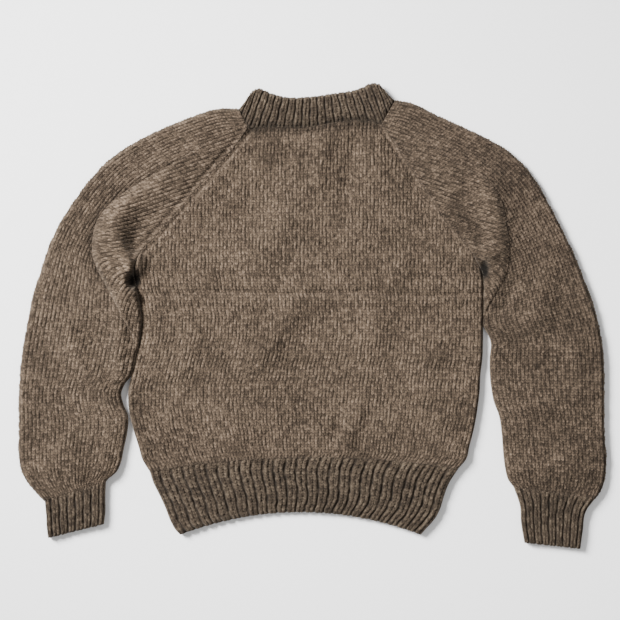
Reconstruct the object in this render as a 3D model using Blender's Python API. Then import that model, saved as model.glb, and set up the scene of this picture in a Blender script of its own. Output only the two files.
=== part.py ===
"""Hand-knitted raglan sweater, laid flat with its front up and its neck towards +Y.

The sweater is nine knitted pieces: a front and a back, each with a ribbed welt, two raglan
sleeves with ribbed cuffs, and a ribbed neckband folded double. It lies on the plane z = 0, with
the origin under the middle of its outline. The back lies on that plane, the front lies on the
back, and every tube is pressed flat, with a soft rounded fold along its edges.
All sizes are in millimetres and are turned to metres where the meshes are made.
"""

import math

import bmesh
import bpy
import numpy as np

MM = 0.001

# Cloth
WALL = 3.5                  # stocking stitch in a thick soft yarn
RIB_WALL = 4.2              # ribbing of the welt and cuffs
BAND_WALL = 6.0             # ribbed neckband, folded double
LAYER_GAP = 0.8             # air between two layers that lie on each other
FOLD_HOLLOW = 1.9           # inner radius where a layer turns back at an edge
CUFF_HOLLOW = 1.5
BAND_HOLLOW = 0.4
EDGE_SPREAD = 30.0          # how far in from an edge the springy fold still lifts the cloth
SEAM = 0.3                  # gap between two pieces that are sewn together
SEAM_DIP = 1.0              # depth of the groove that the sewing pulls
SEAM_REACH = 6.0
SLEEVE_FULLNESS = 1.6       # a sleeve lies a little higher than the front
NECK_LIFT = 2.2             # the neckband lifts the cloth next to it
NECK_REACH = 36.0           # as far from the neck seam as this

# Ribbing
HEM_RIBS = 26
CUFF_RIBS = 8
BAND_RIBS = 19
HEM_RIB_DEPTH = 1.6
CUFF_RIB_DEPTH = 1.5
BAND_RIB_DEPTH = 1.8
RIB_PHASES = (0.0, 0.25, 0.75)      # furrow, then the two shoulders of the rib
RIB_MARGIN = 1.6                    # plain edge beside the first rib, in radii of the folded edge

EDGE_ANGLES = (0, 30, 60, 90)       # degrees round a folded edge, from its outermost line up
EDGE_STEPS = (14.0, 28.0)           # next places in from the edge
PANEL_COLUMNS = 13

# Body, from the welt up: each side's point, how far the row's middle arches up, and how free the
# edge is, from 1, an open side that turns down to the side seam, to 0, sewn to the sleeve
BODY = (
    # left x, left y, right x, right y, arch, free
    (-244, -234, 219, -229, 19.5, 1.0),
    (-254, -218, 230, -216, 17.0, 1.0),
    (-261, -196, 236, -194, 14.0, 1.0),
    (-270, -166, 243, -166, 10.0, 1.0),
    (-276, -136, 248, -137, 7.0, 1.0),
    (-276, -110, 251, -111, 5.0, 1.0),
    (-272, -90, 252, -90, 3.0, 1.0),
    (-265, -62, 255, -64, 2.0, 1.0),
    (-259, -34, 256, -38, 1.0, 1.0),
    (-256, -8, 256, -14, 0.0, 1.0),
    (-258, 14, 256, 12, 0.0, 1.0),
    (-260, 21, 256, 21, 0.0, 1.0),
    (-261, 27, 256, 27, 0.0, 1.0),
    (-262, 33, 256, 33, 0.0, 1.0),
    (-266, 50, 256, 48, 0.0, 1.0),
    (-268, 64, 255, 64, 0.0, 0.9),
    (-264, 80, 246, 82, 0.0, 0.4),
    (-257, 97, 234, 102, 0.0, 0.0),
    (-239, 115, 219, 120, 0.0, 0.0),
    (-218, 139, 199, 144, 0.0, 0.0),
    (-190, 171, 176, 180, 0.0, 0.0),
    (-162, 203, 154, 213, 0.0, 0.0),
    (-137, 231, 134, 244, 0.0, 0.0),
    (-115, 256, 118, 268, 0.0, 0.0),
    (-97, 282, 104, 288, 0.0, 0.0),
)

# Wave of the front neck seam above its chord: heights of one, two and three half waves
NECK_WAVE = (2.0, -4.0, 2.5)

# Welt, from its lower edge up
HEM = (
    # left x, left y, right x, right y, arch, height lost at the edge
    (-199, -328, 163, -328, 34.0, 1.6),
    (-204, -323, 167, -323, 32.5, 0.3),
    (-212, -310, 180, -309, 28.5, 0.0),
    (-220, -290, 191, -291, 25.5, 0.0),
    (-229, -270, 197, -272, 23.0, 0.0),
    (-239, -250, 205, -251, 21.0, 0.0),
    (-244, -234, 219, -229, 19.5, 0.5),
)

# Wearer's right sleeve: the outer edge across from each row of the body's left side, from the
# neck down, and the soft pleat in front of the armpit, by its distance from the seam and height
RIGHT_CAP = (
    # outer x, outer y, pleat distance, pleat height
    (-111, 310, 12, 0.0),
    (-146, 309, 24, 0.0),
    (-190, 294, 36, 0.0),
    (-232, 277, 48, 0.5),
    (-272, 256, 62, 2.0),
    (-310, 229, 76, 7.0),
    (-341, 194, 84, 11.0),
    (-362, 165, 80, 12.5),
    (-379, 138, 74, 12.0),
    (-391, 113, 66, 11.0),
    (-399, 92, 58, 10.0),
    (-406, 70, 49, 8.0),
    (-409, 61, 46, 7.0),
    (-412, 52, 43, 6.0),
    (-417, 36, 37, 4.5),
    (-424, 4, 30, 1.5),
    (-430, -28, 34, 0.0),
    (-435, -58, 44, 0.0),
    (-438, -86, 56, 0.0),
)
RIGHT_ARM = (
    # inner x, inner y, outer x, outer y
    (-281, -101, -439, -104),
    (-287, -116, -440, -122),
    (-284, -132, -440, -140),
    (-277, -150, -440, -160),
    (-278, -174, -440, -184),
    (-283, -198, -440, -206),
    (-288, -221, -437, -228),
    (-295, -235, -429, -246),
    (-305, -243, -416, -262),
    (-310, -249, -402, -277),
)

# Wearer's left sleeve, in the same way
LEFT_CAP = (
    # outer x, outer y, pleat distance, pleat height
    (124, 323, 14, 0.0),
    (152, 317, 26, 0.0),
    (186, 300, 38, 0.0),
    (222, 284, 50, 0.5),
    (262, 265, 64, 2.5),
    (300, 241, 86, 7.0),
    (329, 210, 82, 10.0),
    (350, 175, 64, 11.0),
    (366, 145, 51, 11.0),
    (379, 119, 38, 10.0),
    (390, 96, 33, 9.0),
    (398, 77, 25, 7.5),
    (402, 68, 20, 6.5),
    (405, 60, 16, 5.0),
    (410, 46, 13, 3.0),
    (419, 22, 16, 0.0),
)
LEFT_ARM = (
    # inner x, inner y, outer x, outer y
    (264, -29, 427, -6),
    (268, -43, 433, -36),
    (266, -62, 436, -62),
    (266, -84, 437, -86),
    (268, -106, 437, -110),
    (272, -128, 437, -134),
    (280, -150, 437, -158),
    (284, -178, 438, -186),
    (286, -204, 440, -212),
    (289, -228, 439, -236),
    (294, -246, 434, -257),
    (302, -257, 424, -274),
)
ARM_PLEAT = 0.45            # where the pleat's columns run on below it, as a share of the width
PLEAT_DRIFT = 12.0          # how far they move out towards that place with each row

PLEAT_FULL = 4.0            # a pleat this high has its whole section, and a lower one a softer one

# Section of the pleat, which leans outwards over its own foot: place between the seam and the
# nose, or between the nose and the outer fold, the same place where there is no pleat, and height
# as a share of the pleat's height
PLEAT_RISE = (
    # place, flat place, height
    (0.50, 0.50, -0.08),
    (0.72, 0.62, 0.38),
    (0.86, 0.72, 0.85),
    (0.93, 0.82, 1.00),
    (0.98, 0.92, 0.90),
    (1.01, 1.02, 0.55),
    (0.99, 1.12, 0.12),
)
PLEAT_FOOT = (
    # place, flat place, height
    (0.06, 0.26, -0.08),
    (0.22, 0.42, -0.04),
    (0.50, 0.60, 0.00),
    (0.78, 0.80, 0.00),
)

# Cuffs, from the sleeve down
RIGHT_CUFF = (
    # left x, left y, right x, right y, height lost at the edge
    (-402, -277, -310, -249, 0.6),
    (-400, -297, -311, -272, 0.0),
    (-399, -317, -311, -295, 0.0),
    (-398, -328, -312, -307, 0.3),
    (-397, -333, -313, -312, 1.6),
)
LEFT_CUFF = (
    # left x, left y, right x, right y, height lost at the edge
    (302, -257, 424, -274, 0.6),
    (311, -283, 410, -294, 0.0),
    (313, -310, 406, -320, 0.0),
    (316, -334, 403, -343, 0.3),
    (318, -340, 402, -349, 1.6),
)

# Neckband: corners where its lower edge meets the shoulder folds, and its upper edge
BAND_CORNERS = ((-111, 310), (124, 323))
BAND_TOP = (
    # x, y
    (-94, 330),
    (-82, 341),
    (-60, 333),
    (-32, 327),
    (0, 329),
    (30, 333),
    (72, 341),
    (92, 349),
    (105, 341),
)
BAND_ROWS = (
    # share of the height, height lost at the edge
    (0.0, 1.8),
    (0.05, 0.3),
    (0.3, 0.0),
    (0.65, 0.0),
    (0.92, 0.5),
    (1.0, 2.4),
)

# Creases and soft rolls of the front
FRONT_FOLDS = (
    # x0, y0, x1, y1, half width, height
    (-250, 27, 250, 27, 4.0, -1.8),
    (-230, 17, 240, 17, 6.0, 0.9),
    (-19, 24, -79, -66, 20.0, 2.2),
    (80, 20, 95, -30, 20.0, 1.6),
    (-40, -50, -25, -70, 17.0, -1.8),
    (-176, -6, -191, -76, 16.0, 1.4),
    (64, -140, 46, -200, 14.0, 1.8),
    (40, -163, 19, -201, 9.0, -1.8),
    (88, -146, 68, -201, 10.0, -1.4),
    (19, 272, 11, 215, 16.0, 1.6),
    (67, 262, 60, 240, 12.0, -1.8),
    (-150, -150, -120, -200, 20.0, 1.4),
    (170, -60, 190, -170, 24.0, 1.6),
)
RIGHT_SLEEVE_FOLDS = (
    # x0, y0, x1, y1, half width, height
    (-375, -25, -306, -118, 16.0, 3.0),
    (-312, -134, -284, -146, 12.0, -3.0),
    (-292, -18, -290, -78, 14.0, 1.8),
    (-372, -200, -350, -235, 18.0, 2.4),
    (-400, 20, -392, 110, 18.0, 1.2),
    (-300, -170, -316, -228, 14.0, 2.0),
    (-340, -150, -400, -130, 18.0, -1.4),
    (-170, 250, -255, 215, 16.0, 1.4),
)
LEFT_SLEEVE_FOLDS = (
    # x0, y0, x1, y1, half width, height
    (350, 58, 341, 6, 15.0, 3.2),
    (341, 6, 274, -28, 13.0, 3.2),
    (296, 44, 280, 14, 13.0, -2.6),
    (292, -72, 318, -90, 17.0, -3.0),
    (300, -134, 350, -142, 17.0, 2.2),
    (318, -190, 350, -206, 18.0, -2.4),
    (372, -226, 404, -246, 18.0, 2.2),
    (160, 258, 246, 226, 16.0, 1.4),
    (398, -60, 404, -150, 18.0, 1.4),
)

KNIT_COLOUR = "74634F"
RIB_COLOUR = "5E5040"
YARN_ROUGHNESS = 0.95


def ridge(plan, fold):
    """A straight soft roll: its height times exp(-(distance to the line / half width) squared)."""
    x0, y0, x1, y1, half_width, height = fold
    start = np.array((x0, y0), float)
    run = np.array((x1, y1), float) - start
    share = np.clip((plan - start) @ run / (run @ run), 0, 1)
    distance = np.linalg.norm(plan - start - share[..., None] * run, axis=-1)
    return height * np.exp(-((distance / half_width) ** 2))


def pull(points, towards, distance):
    """Move each point a short distance towards its partner."""
    away = towards - points
    return points + distance * away / np.linalg.norm(away, axis=-1, keepdims=True)


def neck_line(share):
    """Front neck seam between the two raglan seams: its chord with three sine waves on it."""
    left = np.array(BODY[-1][0:2], float)
    right = np.array(BODY[-1][2:4], float)
    line = left + share[..., None] * (right - left)
    for order, height in enumerate(NECK_WAVE, start=1):
        line[..., 1] += height * np.sin(order * math.pi * share)
    return line


def ruled(left, right, arch):
    """Straight rows from the left edge to the right one, each arched up as a parabola."""
    def plan(share):
        points = left[:, None] + share[..., None] * (right - left)[:, None]
        points[..., 1] += arch[:, None] * 4 * share * (1 - share)
        return points
    return plan


def edge_places(radius):
    """Distances in from an edge to the points of its quarter-round fold."""
    return [radius * (1 - math.cos(math.radians(angle))) for angle in EDGE_ANGLES]


def panel_columns(width, radius, count):
    """Distances across each row: close over both edges, with count even steps between."""
    edge = np.array(edge_places(radius) + list(EDGE_STEPS))
    steps = np.linspace(0, 1, count + 2)[1:-1]
    rows = [np.concatenate((edge, edge[-1] + steps * (w - 2 * edge[-1]), w - edge[::-1]))
            for w in width]
    return np.array(rows)


def rib_columns(width, radius, ribs):
    """Distances across each ribbed row, and how deep in a furrow each column lies, from 0 to 1."""
    edge = np.array(edge_places(radius))
    shares = [(rib + phase) / ribs for rib in range(ribs) for phase in RIB_PHASES]
    margin = RIB_MARGIN * radius / width.min()
    inside = [(share, float(index % len(RIB_PHASES) == 0)) for index, share in enumerate(shares)
              if margin < share < 1 - margin]
    places, furrows = np.array(inside).T
    rows = [np.concatenate((edge, places * w, w - edge[::-1])) for w in width]
    blank = np.zeros(len(edge))
    return np.array(rows), np.concatenate((blank, furrows, blank))


def layer(plan, width, across, free, rim, wall, hollow, lift, upper):
    """Outer and inner points of one layer of cloth, pressed flat.

    plan gives the place of each share of a row, width each row's length, and across the distance
    of each column from the left edge. free holds how freely each row turns at its left and right
    edge, and rim the height of those edges. lift raises the upper layer's outer points.
    Over a folded edge the outer height follows a quarter circle of radius wall + hollow, and the
    inner height one of radius hollow, so the wall keeps its thickness round the fold.
    """
    radius = wall + hollow
    from_edges = (across, width[:, None] - across)
    spring = 2 * hollow - LAYER_GAP
    top = 2 * wall + LAYER_GAP + lift
    under = np.full(across.shape, wall + LAYER_GAP)
    turn = []
    slide = np.zeros(across.shape)
    for distance, freedom, way in zip(from_edges, free, (1, -1)):
        freedom = freedom[:, None]
        cosine = np.clip(1 - distance / radius, 0, 1)
        turn.append(freedom * (1 - np.sqrt(1 - cosine ** 2)))
        raised = spring * freedom * np.exp(-np.clip(distance - radius, 0, None) / EDGE_SPREAD)
        top = top + raised - SEAM_DIP * (1 - freedom) * np.exp(-((distance / SEAM_REACH) ** 2))
        under = under + raised
        slide += way * freedom * np.where(cosine > 0, radius - hollow * cosine - distance, 0)
    if upper:
        outer_z = top - sum((top - height) * part for part, height in zip(turn, rim))
        inner_z = under - sum((under - height) * part for part, height in zip(turn, rim))
    else:
        outer_z = sum(height * part for part, height in zip(turn, rim))
        inner_z = wall + sum((height - wall) * part for part, height in zip(turn, rim))
    outer = np.dstack((plan(across / width[:, None]), outer_z))
    inner = np.dstack((plan((across + slide) / width[:, None]), inner_z))
    return outer, inner


def grid_faces(rows, columns, start, ring):
    """Four-sided faces of a grid of points, closed across its last column if it is a ring."""
    spans = columns if ring else columns - 1
    return [[start + row * columns + column,
             start + row * columns + (column + 1) % columns,
             start + (row + 1) * columns + (column + 1) % columns,
             start + (row + 1) * columns + column]
            for row in range(rows - 1) for column in range(spans)]


def material(name, colour):
    """Matt yarn of one colour, given as an sRGB hex value."""
    yarn = bpy.data.materials.get(name)
    if yarn is None:
        yarn = bpy.data.materials.new(name)
        yarn.use_nodes = True
        shader = yarn.node_tree.nodes["Principled BSDF"]
        channels = [int(colour[i:i + 2], 16) / 255 for i in (0, 2, 4)]
        linear = [((c + 0.055) / 1.055) ** 2.4 for c in channels]
        shader.inputs["Base Color"].default_value = (*linear, 1.0)
        shader.inputs["Roughness"].default_value = YARN_ROUGHNESS
        shader.inputs["Metallic"].default_value = 0.0
    return yarn


def cloth_solid(name, outer, inner, ring, colour, parent):
    """Closed wall between two grids of points: outer skin, inner skin and the rims between."""
    rows, columns = outer.shape[:2]
    count = rows * columns
    faces = grid_faces(rows, columns, 0, ring)
    faces += [face[::-1] for face in grid_faces(rows, columns, count, ring)]
    for row in (0, rows - 1):
        for column in range(columns if ring else columns - 1):
            a = row * columns + column
            b = row * columns + (column + 1) % columns
            faces.append([a, b, b + count, a + count])
    if not ring:
        for column in (0, columns - 1):
            for row in range(rows - 1):
                a = row * columns + column
                b = a + columns
                faces.append([a, b, b + count, a + count])
    points = np.concatenate((outer.reshape(-1, 3), inner.reshape(-1, 3))) * MM
    origin = np.array((*points.mean(axis=0)[:2], 0.0)).round(3)
    mesh = bpy.data.meshes.new(name)
    mesh.from_pydata((points - origin).tolist(), [], faces)
    shape = bmesh.new()
    shape.from_mesh(mesh)
    bmesh.ops.recalc_face_normals(shape, faces=shape.faces)
    shape.to_mesh(mesh)
    shape.free()
    mesh.shade_smooth()
    mesh.set_sharp_from_angle(angle=math.radians(50))
    mesh.materials.append(material(name + " yarn", colour))
    piece = bpy.data.objects.new(name, mesh)
    piece.location = origin
    piece.parent = parent
    bpy.context.scene.collection.objects.link(piece)
    return piece


def body_panels(parent):
    """Front and back, which share their plan and meet along the side seams."""
    table = np.array(BODY, float)
    left, right = table[:, 0:2], table[:, 2:4]
    arch, free = table[:, 4], table[:, 5]
    left, right = pull(left, right, 0.7 * SEAM), pull(right, left, 0.7 * SEAM)
    rows = ruled(left, right, arch)

    def plan(share):
        points = rows(share)
        points[-1] = neck_line(share[-1])
        points[0, :, 1] += SEAM / 2
        points[-1, :, 1] -= SEAM / 2
        return points

    width = np.linalg.norm(right - left, axis=1)
    radius = WALL + FOLD_HOLLOW
    across = panel_columns(width, radius, PANEL_COLUMNS)
    ground = plan(across / width[:, None])
    neck = (*BODY[-1][0:4], NECK_REACH, NECK_LIFT)
    lift = ridge(ground, neck) + sum(ridge(ground, fold) for fold in FRONT_FOLDS)
    for name, upper, seam in (("front", True, SEAM / 2), ("back", False, -SEAM / 2)):
        rim = (radius + seam, radius + seam)
        outer, inner = layer(plan, width, across, (free, free), rim, WALL, FOLD_HOLLOW, lift, upper)
        if upper:
            inner[..., 2] += ridge(inner[..., :2], neck)
        cloth_solid(name, outer, inner, False, KNIT_COLOUR, parent)


def welts(parent):
    """Ribbed welts of the front and back, with ribs on the side that shows."""
    table = np.array(HEM, float)
    left, right = table[:, 0:2], table[:, 2:4]
    arch, lost = table[:, 4], table[:, 5]
    rows = ruled(left, right, arch)

    def plan(share):
        points = rows(share)
        points[-1, :, 1] -= SEAM / 2
        return points

    width = np.linalg.norm(right - left, axis=1)
    radius = RIB_WALL + CUFF_HOLLOW
    across, furrow = rib_columns(width, radius, HEM_RIBS)
    free = np.ones(len(table))
    lift = -HEM_RIB_DEPTH * furrow[None] - lost[:, None]
    outer, inner = layer(plan, width, across, (free, free), (radius + SEAM / 2,) * 2,
                         RIB_WALL, CUFF_HOLLOW, lift, True)
    cloth_solid("hem_front", outer, inner, False, RIB_COLOUR, parent)
    plain = panel_columns(width, radius, PANEL_COLUMNS)
    outer, inner = layer(plan, width, plain, (free, free), (radius - SEAM / 2,) * 2,
                         RIB_WALL, CUFF_HOLLOW, 0.0, False)
    cloth_solid("hem_back", outer, inner, False, RIB_COLOUR, parent)


def sleeve(name, seam_side, cap, arm, folds, parent):
    """Raglan sleeve: one sheet round from the raglan or underarm seam, over the top layer, round
    the outer fold and back under the lower layer to the same seam."""
    cap = np.array(cap, float)
    arm = np.array(arm, float)
    seam_rows = np.array(BODY, float)[::-1][:len(cap)]
    inner_edge = np.concatenate((seam_rows[:, seam_side], arm[:, 0:2]))
    outer_edge = np.concatenate((cap[:, 0:2], arm[:, 2:4]))
    free = np.concatenate((seam_rows[:, 5], np.ones(len(arm))))
    inner_edge = pull(inner_edge, outer_edge, 0.7 * SEAM)
    for edge in (inner_edge, outer_edge):
        edge[0] = pull(edge[0], edge[1], 0.7 * SEAM)
        edge[-1] = pull(edge[-1], edge[-2], 0.7 * SEAM)
    width = np.linalg.norm(outer_edge - inner_edge, axis=1)
    drift = cap[-1, 2] + PLEAT_DRIFT * np.arange(1, len(arm) + 1)
    pleat = np.concatenate((cap[:, 2], np.minimum(drift, ARM_PLEAT * width[len(cap):])))
    height = np.concatenate((cap[:, 3], np.zeros(len(arm))))

    radius = WALL + FOLD_HOLLOW
    edge = np.array(edge_places(radius))
    rise, rise_flat, rise_height = np.array(PLEAT_RISE).T
    foot, foot_flat, foot_height = np.array(PLEAT_FOOT).T
    full = np.clip(height / PLEAT_FULL, 0, 1)[:, None]
    rise = rise_flat + full * (rise - rise_flat)
    foot = foot_flat + full * (foot - foot_flat)
    nose, end = pleat[:, None], (width - radius)[:, None]
    edges = np.repeat(edge[None], len(width), axis=0)
    across = np.hstack((edges, rise * nose, nose + foot * (end - nose),
                        width[:, None] - edges[:, ::-1]))
    section = np.concatenate((0 * edge, rise_height, foot_height, 0 * edge))
    plan = ruled(inner_edge, outer_edge, np.zeros(len(width)))
    ground = plan(across / width[:, None])
    inward = across / width[:, None]
    lift = height[:, None] * section[None]
    lift = lift + SLEEVE_FULLNESS * (1 - np.exp(-across / EDGE_SPREAD)) * (1 - inward ** 4)
    lift = lift + sum(ridge(ground, fold) for fold in folds) * (1 - inward ** 6)
    neck = (*BODY[-1][0:4], NECK_REACH, NECK_LIFT)
    neck_lift = ridge(ground, neck) * (1 - inward)
    folded = np.ones(len(width))
    top = layer(plan, width, across, (free, folded), (radius + SEAM / 2, radius),
                WALL, FOLD_HOLLOW, lift + neck_lift, True)
    top[1][..., 2] += neck_lift
    few = np.array([np.concatenate((edge, [0.5 * w], w - edge[::-1])) for w in width])
    low = layer(plan, width, few, (free, folded), (radius - SEAM / 2, radius),
                WALL, FOLD_HOLLOW, 0.0, False)
    outer, inner = (np.concatenate((upper, lower[:, -2::-1]), axis=1)
                    for upper, lower in zip(top, low))
    cloth_solid(name, outer, inner, False, KNIT_COLOUR, parent)


def ribbed_ring(name, plan, width, ribs, depth, lost, wall, hollow, parent):
    """Ribbed tube pressed flat: ribs raised on its top side, a plain underside to lie on."""
    radius = wall + hollow
    across, furrow = rib_columns(width, radius, ribs)
    free = np.ones(len(width))
    lift = -depth * furrow[None] - lost[:, None]
    top = layer(plan, width, across, (free, free), (radius, radius), wall, hollow, lift, True)
    plain = panel_columns(width, radius, PANEL_COLUMNS)
    low = layer(plan, width, plain, (free, free), (radius, radius), wall, hollow, 0.0, False)
    outer, inner = (np.concatenate((upper, lower[:, -2:0:-1]), axis=1)
                    for upper, lower in zip(top, low))
    cloth_solid(name, outer, inner, True, RIB_COLOUR, parent)


def cuff(name, table, parent):
    """Ribbed cuff, from the sleeve's last row to its own lower edge."""
    table = np.array(table, float)
    left, right = table[:, 0:2].copy(), table[:, 2:4].copy()
    for edge in (left, right):
        edge[0] = pull(edge[0], edge[1], SEAM / 2)
    width = np.linalg.norm(right - left, axis=1)
    plan = ruled(left, right, np.zeros(len(table)))
    ribbed_ring(name, plan, width, CUFF_RIBS, CUFF_RIB_DEPTH, table[:, 4],
                RIB_WALL, CUFF_HOLLOW, parent)


def collar(parent):
    """Neckband: a ring from the neck seam, with its corners on the shoulder folds, to its rim."""
    lower = np.concatenate(([BAND_CORNERS[0]], neck_line(np.linspace(0, 1, 41)),
                            [BAND_CORNERS[1]]))
    upper = np.array(BAND_TOP, float)

    def along(line, share):
        steps = np.linalg.norm(np.diff(line, axis=0), axis=1)
        reach = np.concatenate(([0], np.cumsum(steps))) / steps.sum()
        return np.stack([np.interp(share, reach, line[:, axis]) for axis in (0, 1)], axis=-1)

    rows, lost = np.array(BAND_ROWS).T

    def plan(share):
        low, high = along(lower, share), along(upper, share)
        middle = low.mean(axis=1, keepdims=True) + (0, 30)
        low = pull(low, middle, SEAM)
        return low + rows[:, None, None] * (high - low)

    samples = plan(np.repeat(np.linspace(0, 1, 101)[None], len(rows), axis=0))
    width = np.linalg.norm(np.diff(samples, axis=1), axis=2).sum(axis=1)
    ribbed_ring("collar", plan, width, BAND_RIBS, BAND_RIB_DEPTH, lost,
                BAND_WALL, BAND_HOLLOW, parent)


def main():
    for thing in list(bpy.data.objects):
        bpy.data.objects.remove(thing, do_unlink=True)
    sweater = bpy.data.objects.new("sweater", None)
    bpy.context.scene.collection.objects.link(sweater)
    body_panels(sweater)
    welts(sweater)
    sleeve("right_sleeve", slice(0, 2), RIGHT_CAP, RIGHT_ARM, RIGHT_SLEEVE_FOLDS, sweater)
    sleeve("left_sleeve", slice(2, 4), LEFT_CAP, LEFT_ARM, LEFT_SLEEVE_FOLDS, sweater)
    cuff("right_cuff", RIGHT_CUFF, sweater)
    cuff("left_cuff", LEFT_CUFF, sweater)
    collar(sweater)


main()
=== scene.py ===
# %% [markdown]
# # A hand-knitted raglan sweater, laid flat
#
# The sweater is knitted in thick, soft, heathered alpaca: a front and a back in stocking stitch,
# two raglan sleeves, and ribbing at the welt, the cuffs and the doubled neckband. It lies on a pale
# surface with its front up and is seen from straight above.
#
# Knitting is a lattice: columns of stitches, called wales, cross rows, called courses. So each
# piece here is one grid of points with a few points for every stitch, laid on the piece's smooth
# form, and the stitches are small heights along that form's normals.
#
# The stitches could also be a bump map on smooth sheets. But the yarn is thick enough to throw
# real shadows and to roughen every edge, so they are modelled.

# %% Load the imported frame
import math

import bmesh
import bpy
import numpy as np
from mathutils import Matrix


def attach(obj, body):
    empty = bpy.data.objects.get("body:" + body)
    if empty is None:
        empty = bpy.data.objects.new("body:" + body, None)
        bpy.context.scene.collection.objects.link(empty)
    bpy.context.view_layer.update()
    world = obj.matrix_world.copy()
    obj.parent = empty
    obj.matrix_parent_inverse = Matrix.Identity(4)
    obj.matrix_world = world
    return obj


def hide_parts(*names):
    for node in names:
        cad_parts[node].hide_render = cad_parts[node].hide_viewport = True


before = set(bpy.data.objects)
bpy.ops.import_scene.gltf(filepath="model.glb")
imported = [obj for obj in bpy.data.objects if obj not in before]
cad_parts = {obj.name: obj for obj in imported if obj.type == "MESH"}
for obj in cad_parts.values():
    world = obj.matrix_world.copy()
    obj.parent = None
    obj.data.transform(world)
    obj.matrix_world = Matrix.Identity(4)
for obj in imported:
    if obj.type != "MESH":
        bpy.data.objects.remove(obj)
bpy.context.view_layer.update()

MM = 0.001

# %% [markdown]
# ## Yarn, stitches and layers
#
# Every size is in millimetres. Nineteen stitches to ten centimetres is a usual gauge for a thick
# yarn, and a stitch is a little wider than it is high. Two layers of a flattened tube lie on each
# other with some air between them, and a springy fold holds their edges a little higher. These
# few sizes drive every piece, so another yarn could be tried by changing two of them.

# %% Sizes of the cloth
WALE = 5.5                  # width of one stitch
COURSE = 4.15               # height of one stitch
STITCH_HEIGHT = 1.8         # how far a stitch's legs stand above its grooves
LEG_RISE = 0.45             # how far a leg climbs from the point of its V, in courses
ACROSS = 4                  # points across one stitch
ALONG = 2                   # points along one stitch
COARSE = 8                  # the plain inner side has one point for this many outer ones

WALL = 3.5                  # thickness of the stocking stitch
RIB_WALL = 4.2              # thickness of the ribbing
BAND_WALL = 6.0             # thickness of the neckband, folded double
LAYER_GAP = 0.8             # air between the two layers
FOLD_HOLLOW = 1.9           # inner radius of a side fold in stocking stitch
CUFF_HOLLOW = 1.5           # the same at the welt and the cuffs
BAND_HOLLOW = 0.4           # the same at the neckband
EDGE_SPREAD = 30.0          # how far inwards a springy fold lifts the cloth
SEAM = 0.02                 # gap between two pieces along a seam
SLANT_GAP = 0.7 * SEAM      # how far each edge draws back from a slanting seam
SEAM_DIP = 0.1              # depth of the groove along a seam
SEAM_REACH = 2.2            # half width of that groove
NECK_LIFT = 2.2             # how far the cloth rises to the neckband
NECK_REACH = 36.0           # over what distance it rises
RIB_REACH = 12              # over what distance the plain cloth comes to the ribbing's level
print("stitches in 10 cm:", round(100 / WALE, 1), "by", round(100 / COURSE, 1))

# %% [markdown]
# ## Outline of each piece
#
# These are the sweater's own measurements, taken row by row, the same as the solids have. The
# front and back share one outline. Each sleeve starts along the raglan seam, where its inner edge
# is the body's edge, and goes on as a free tube below the armpit. An outline could also be drawn
# as one curve, but knitting is made row by row, and a row gives both ends of a course at once.

# %% Measurements of the body, welt, cuffs and neckband
BODY = (
    # left x, left y, right x, right y, arch, free
    (-244, -234, 219, -229, 19.5, 1.0),
    (-254, -218, 230, -216, 17.0, 1.0),
    (-261, -196, 236, -194, 14.0, 1.0),
    (-270, -166, 243, -166, 10.0, 1.0),
    (-276, -136, 248, -137, 7.0, 1.0),
    (-276, -110, 251, -111, 5.0, 1.0),
    (-272, -90, 252, -90, 3.0, 1.0),
    (-265, -62, 255, -64, 2.0, 1.0),
    (-259, -34, 256, -38, 1.0, 1.0),
    (-256, -8, 256, -14, 0.0, 1.0),
    (-258, 14, 256, 12, 0.0, 1.0),
    (-262, 33, 256, 33, 0.0, 1.0),
    (-266, 50, 256, 48, 0.0, 1.0),
    (-268, 64, 255, 64, 0.0, 0.9),
    (-264, 80, 246, 82, 0.0, 0.4),
    (-257, 97, 234, 102, 0.0, 0.0),
    (-239, 115, 219, 120, 0.0, 0.0),
    (-218, 139, 199, 144, 0.0, 0.0),
    (-190, 171, 176, 180, 0.0, 0.0),
    (-162, 203, 154, 213, 0.0, 0.0),
    (-137, 231, 134, 244, 0.0, 0.0),
    (-115, 256, 118, 268, 0.0, 0.0),
    (-97, 282, 104, 288, 0.0, 0.0),
)
ARMPIT_ROW = 13
NECK_WAVE = (2.0, -4.0, 2.5)    # heights of the sine waves on the neck seam, longest first
HEM = (
    # left x, left y, right x, right y, arch
    (-199, -328, 163, -328, 34.0),
    (-204, -323, 167, -323, 32.5),
    (-212, -310, 180, -309, 28.5),
    (-220, -290, 191, -291, 25.5),
    (-229, -270, 197, -272, 23.0),
    (-239, -250, 205, -251, 21.0),
    (-244, -234, 219, -229, 19.5),
)
RIGHT_CUFF = (
    # left x, left y, right x, right y
    (-402, -277, -310, -249),
    (-400, -297, -311, -272),
    (-399, -317, -311, -295),
    (-397, -333, -313, -312),
)
LEFT_CUFF = (
    # left x, left y, right x, right y
    (302, -257, 424, -274),
    (311, -283, 410, -294),
    (313, -310, 406, -320),
    (318, -340, 402, -349),
)
BAND_CORNERS = ((-111, 310), (124, 323))
BAND_TOP = (
    # x, y
    (-95, 329),
    (-91, 335),
    (-82, 341),
    (-72, 338),
    (-58, 332),
    (-32, 327),
    (0, 329),
    (30, 333),
    (58, 337),
    (72, 341),
    (84, 347),
    (94, 349),
    (102, 345),
    (108, 336),
)
print("chest laid flat:", BODY[ARMPIT_ROW][2] - BODY[ARMPIT_ROW][0], "mm")

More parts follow.
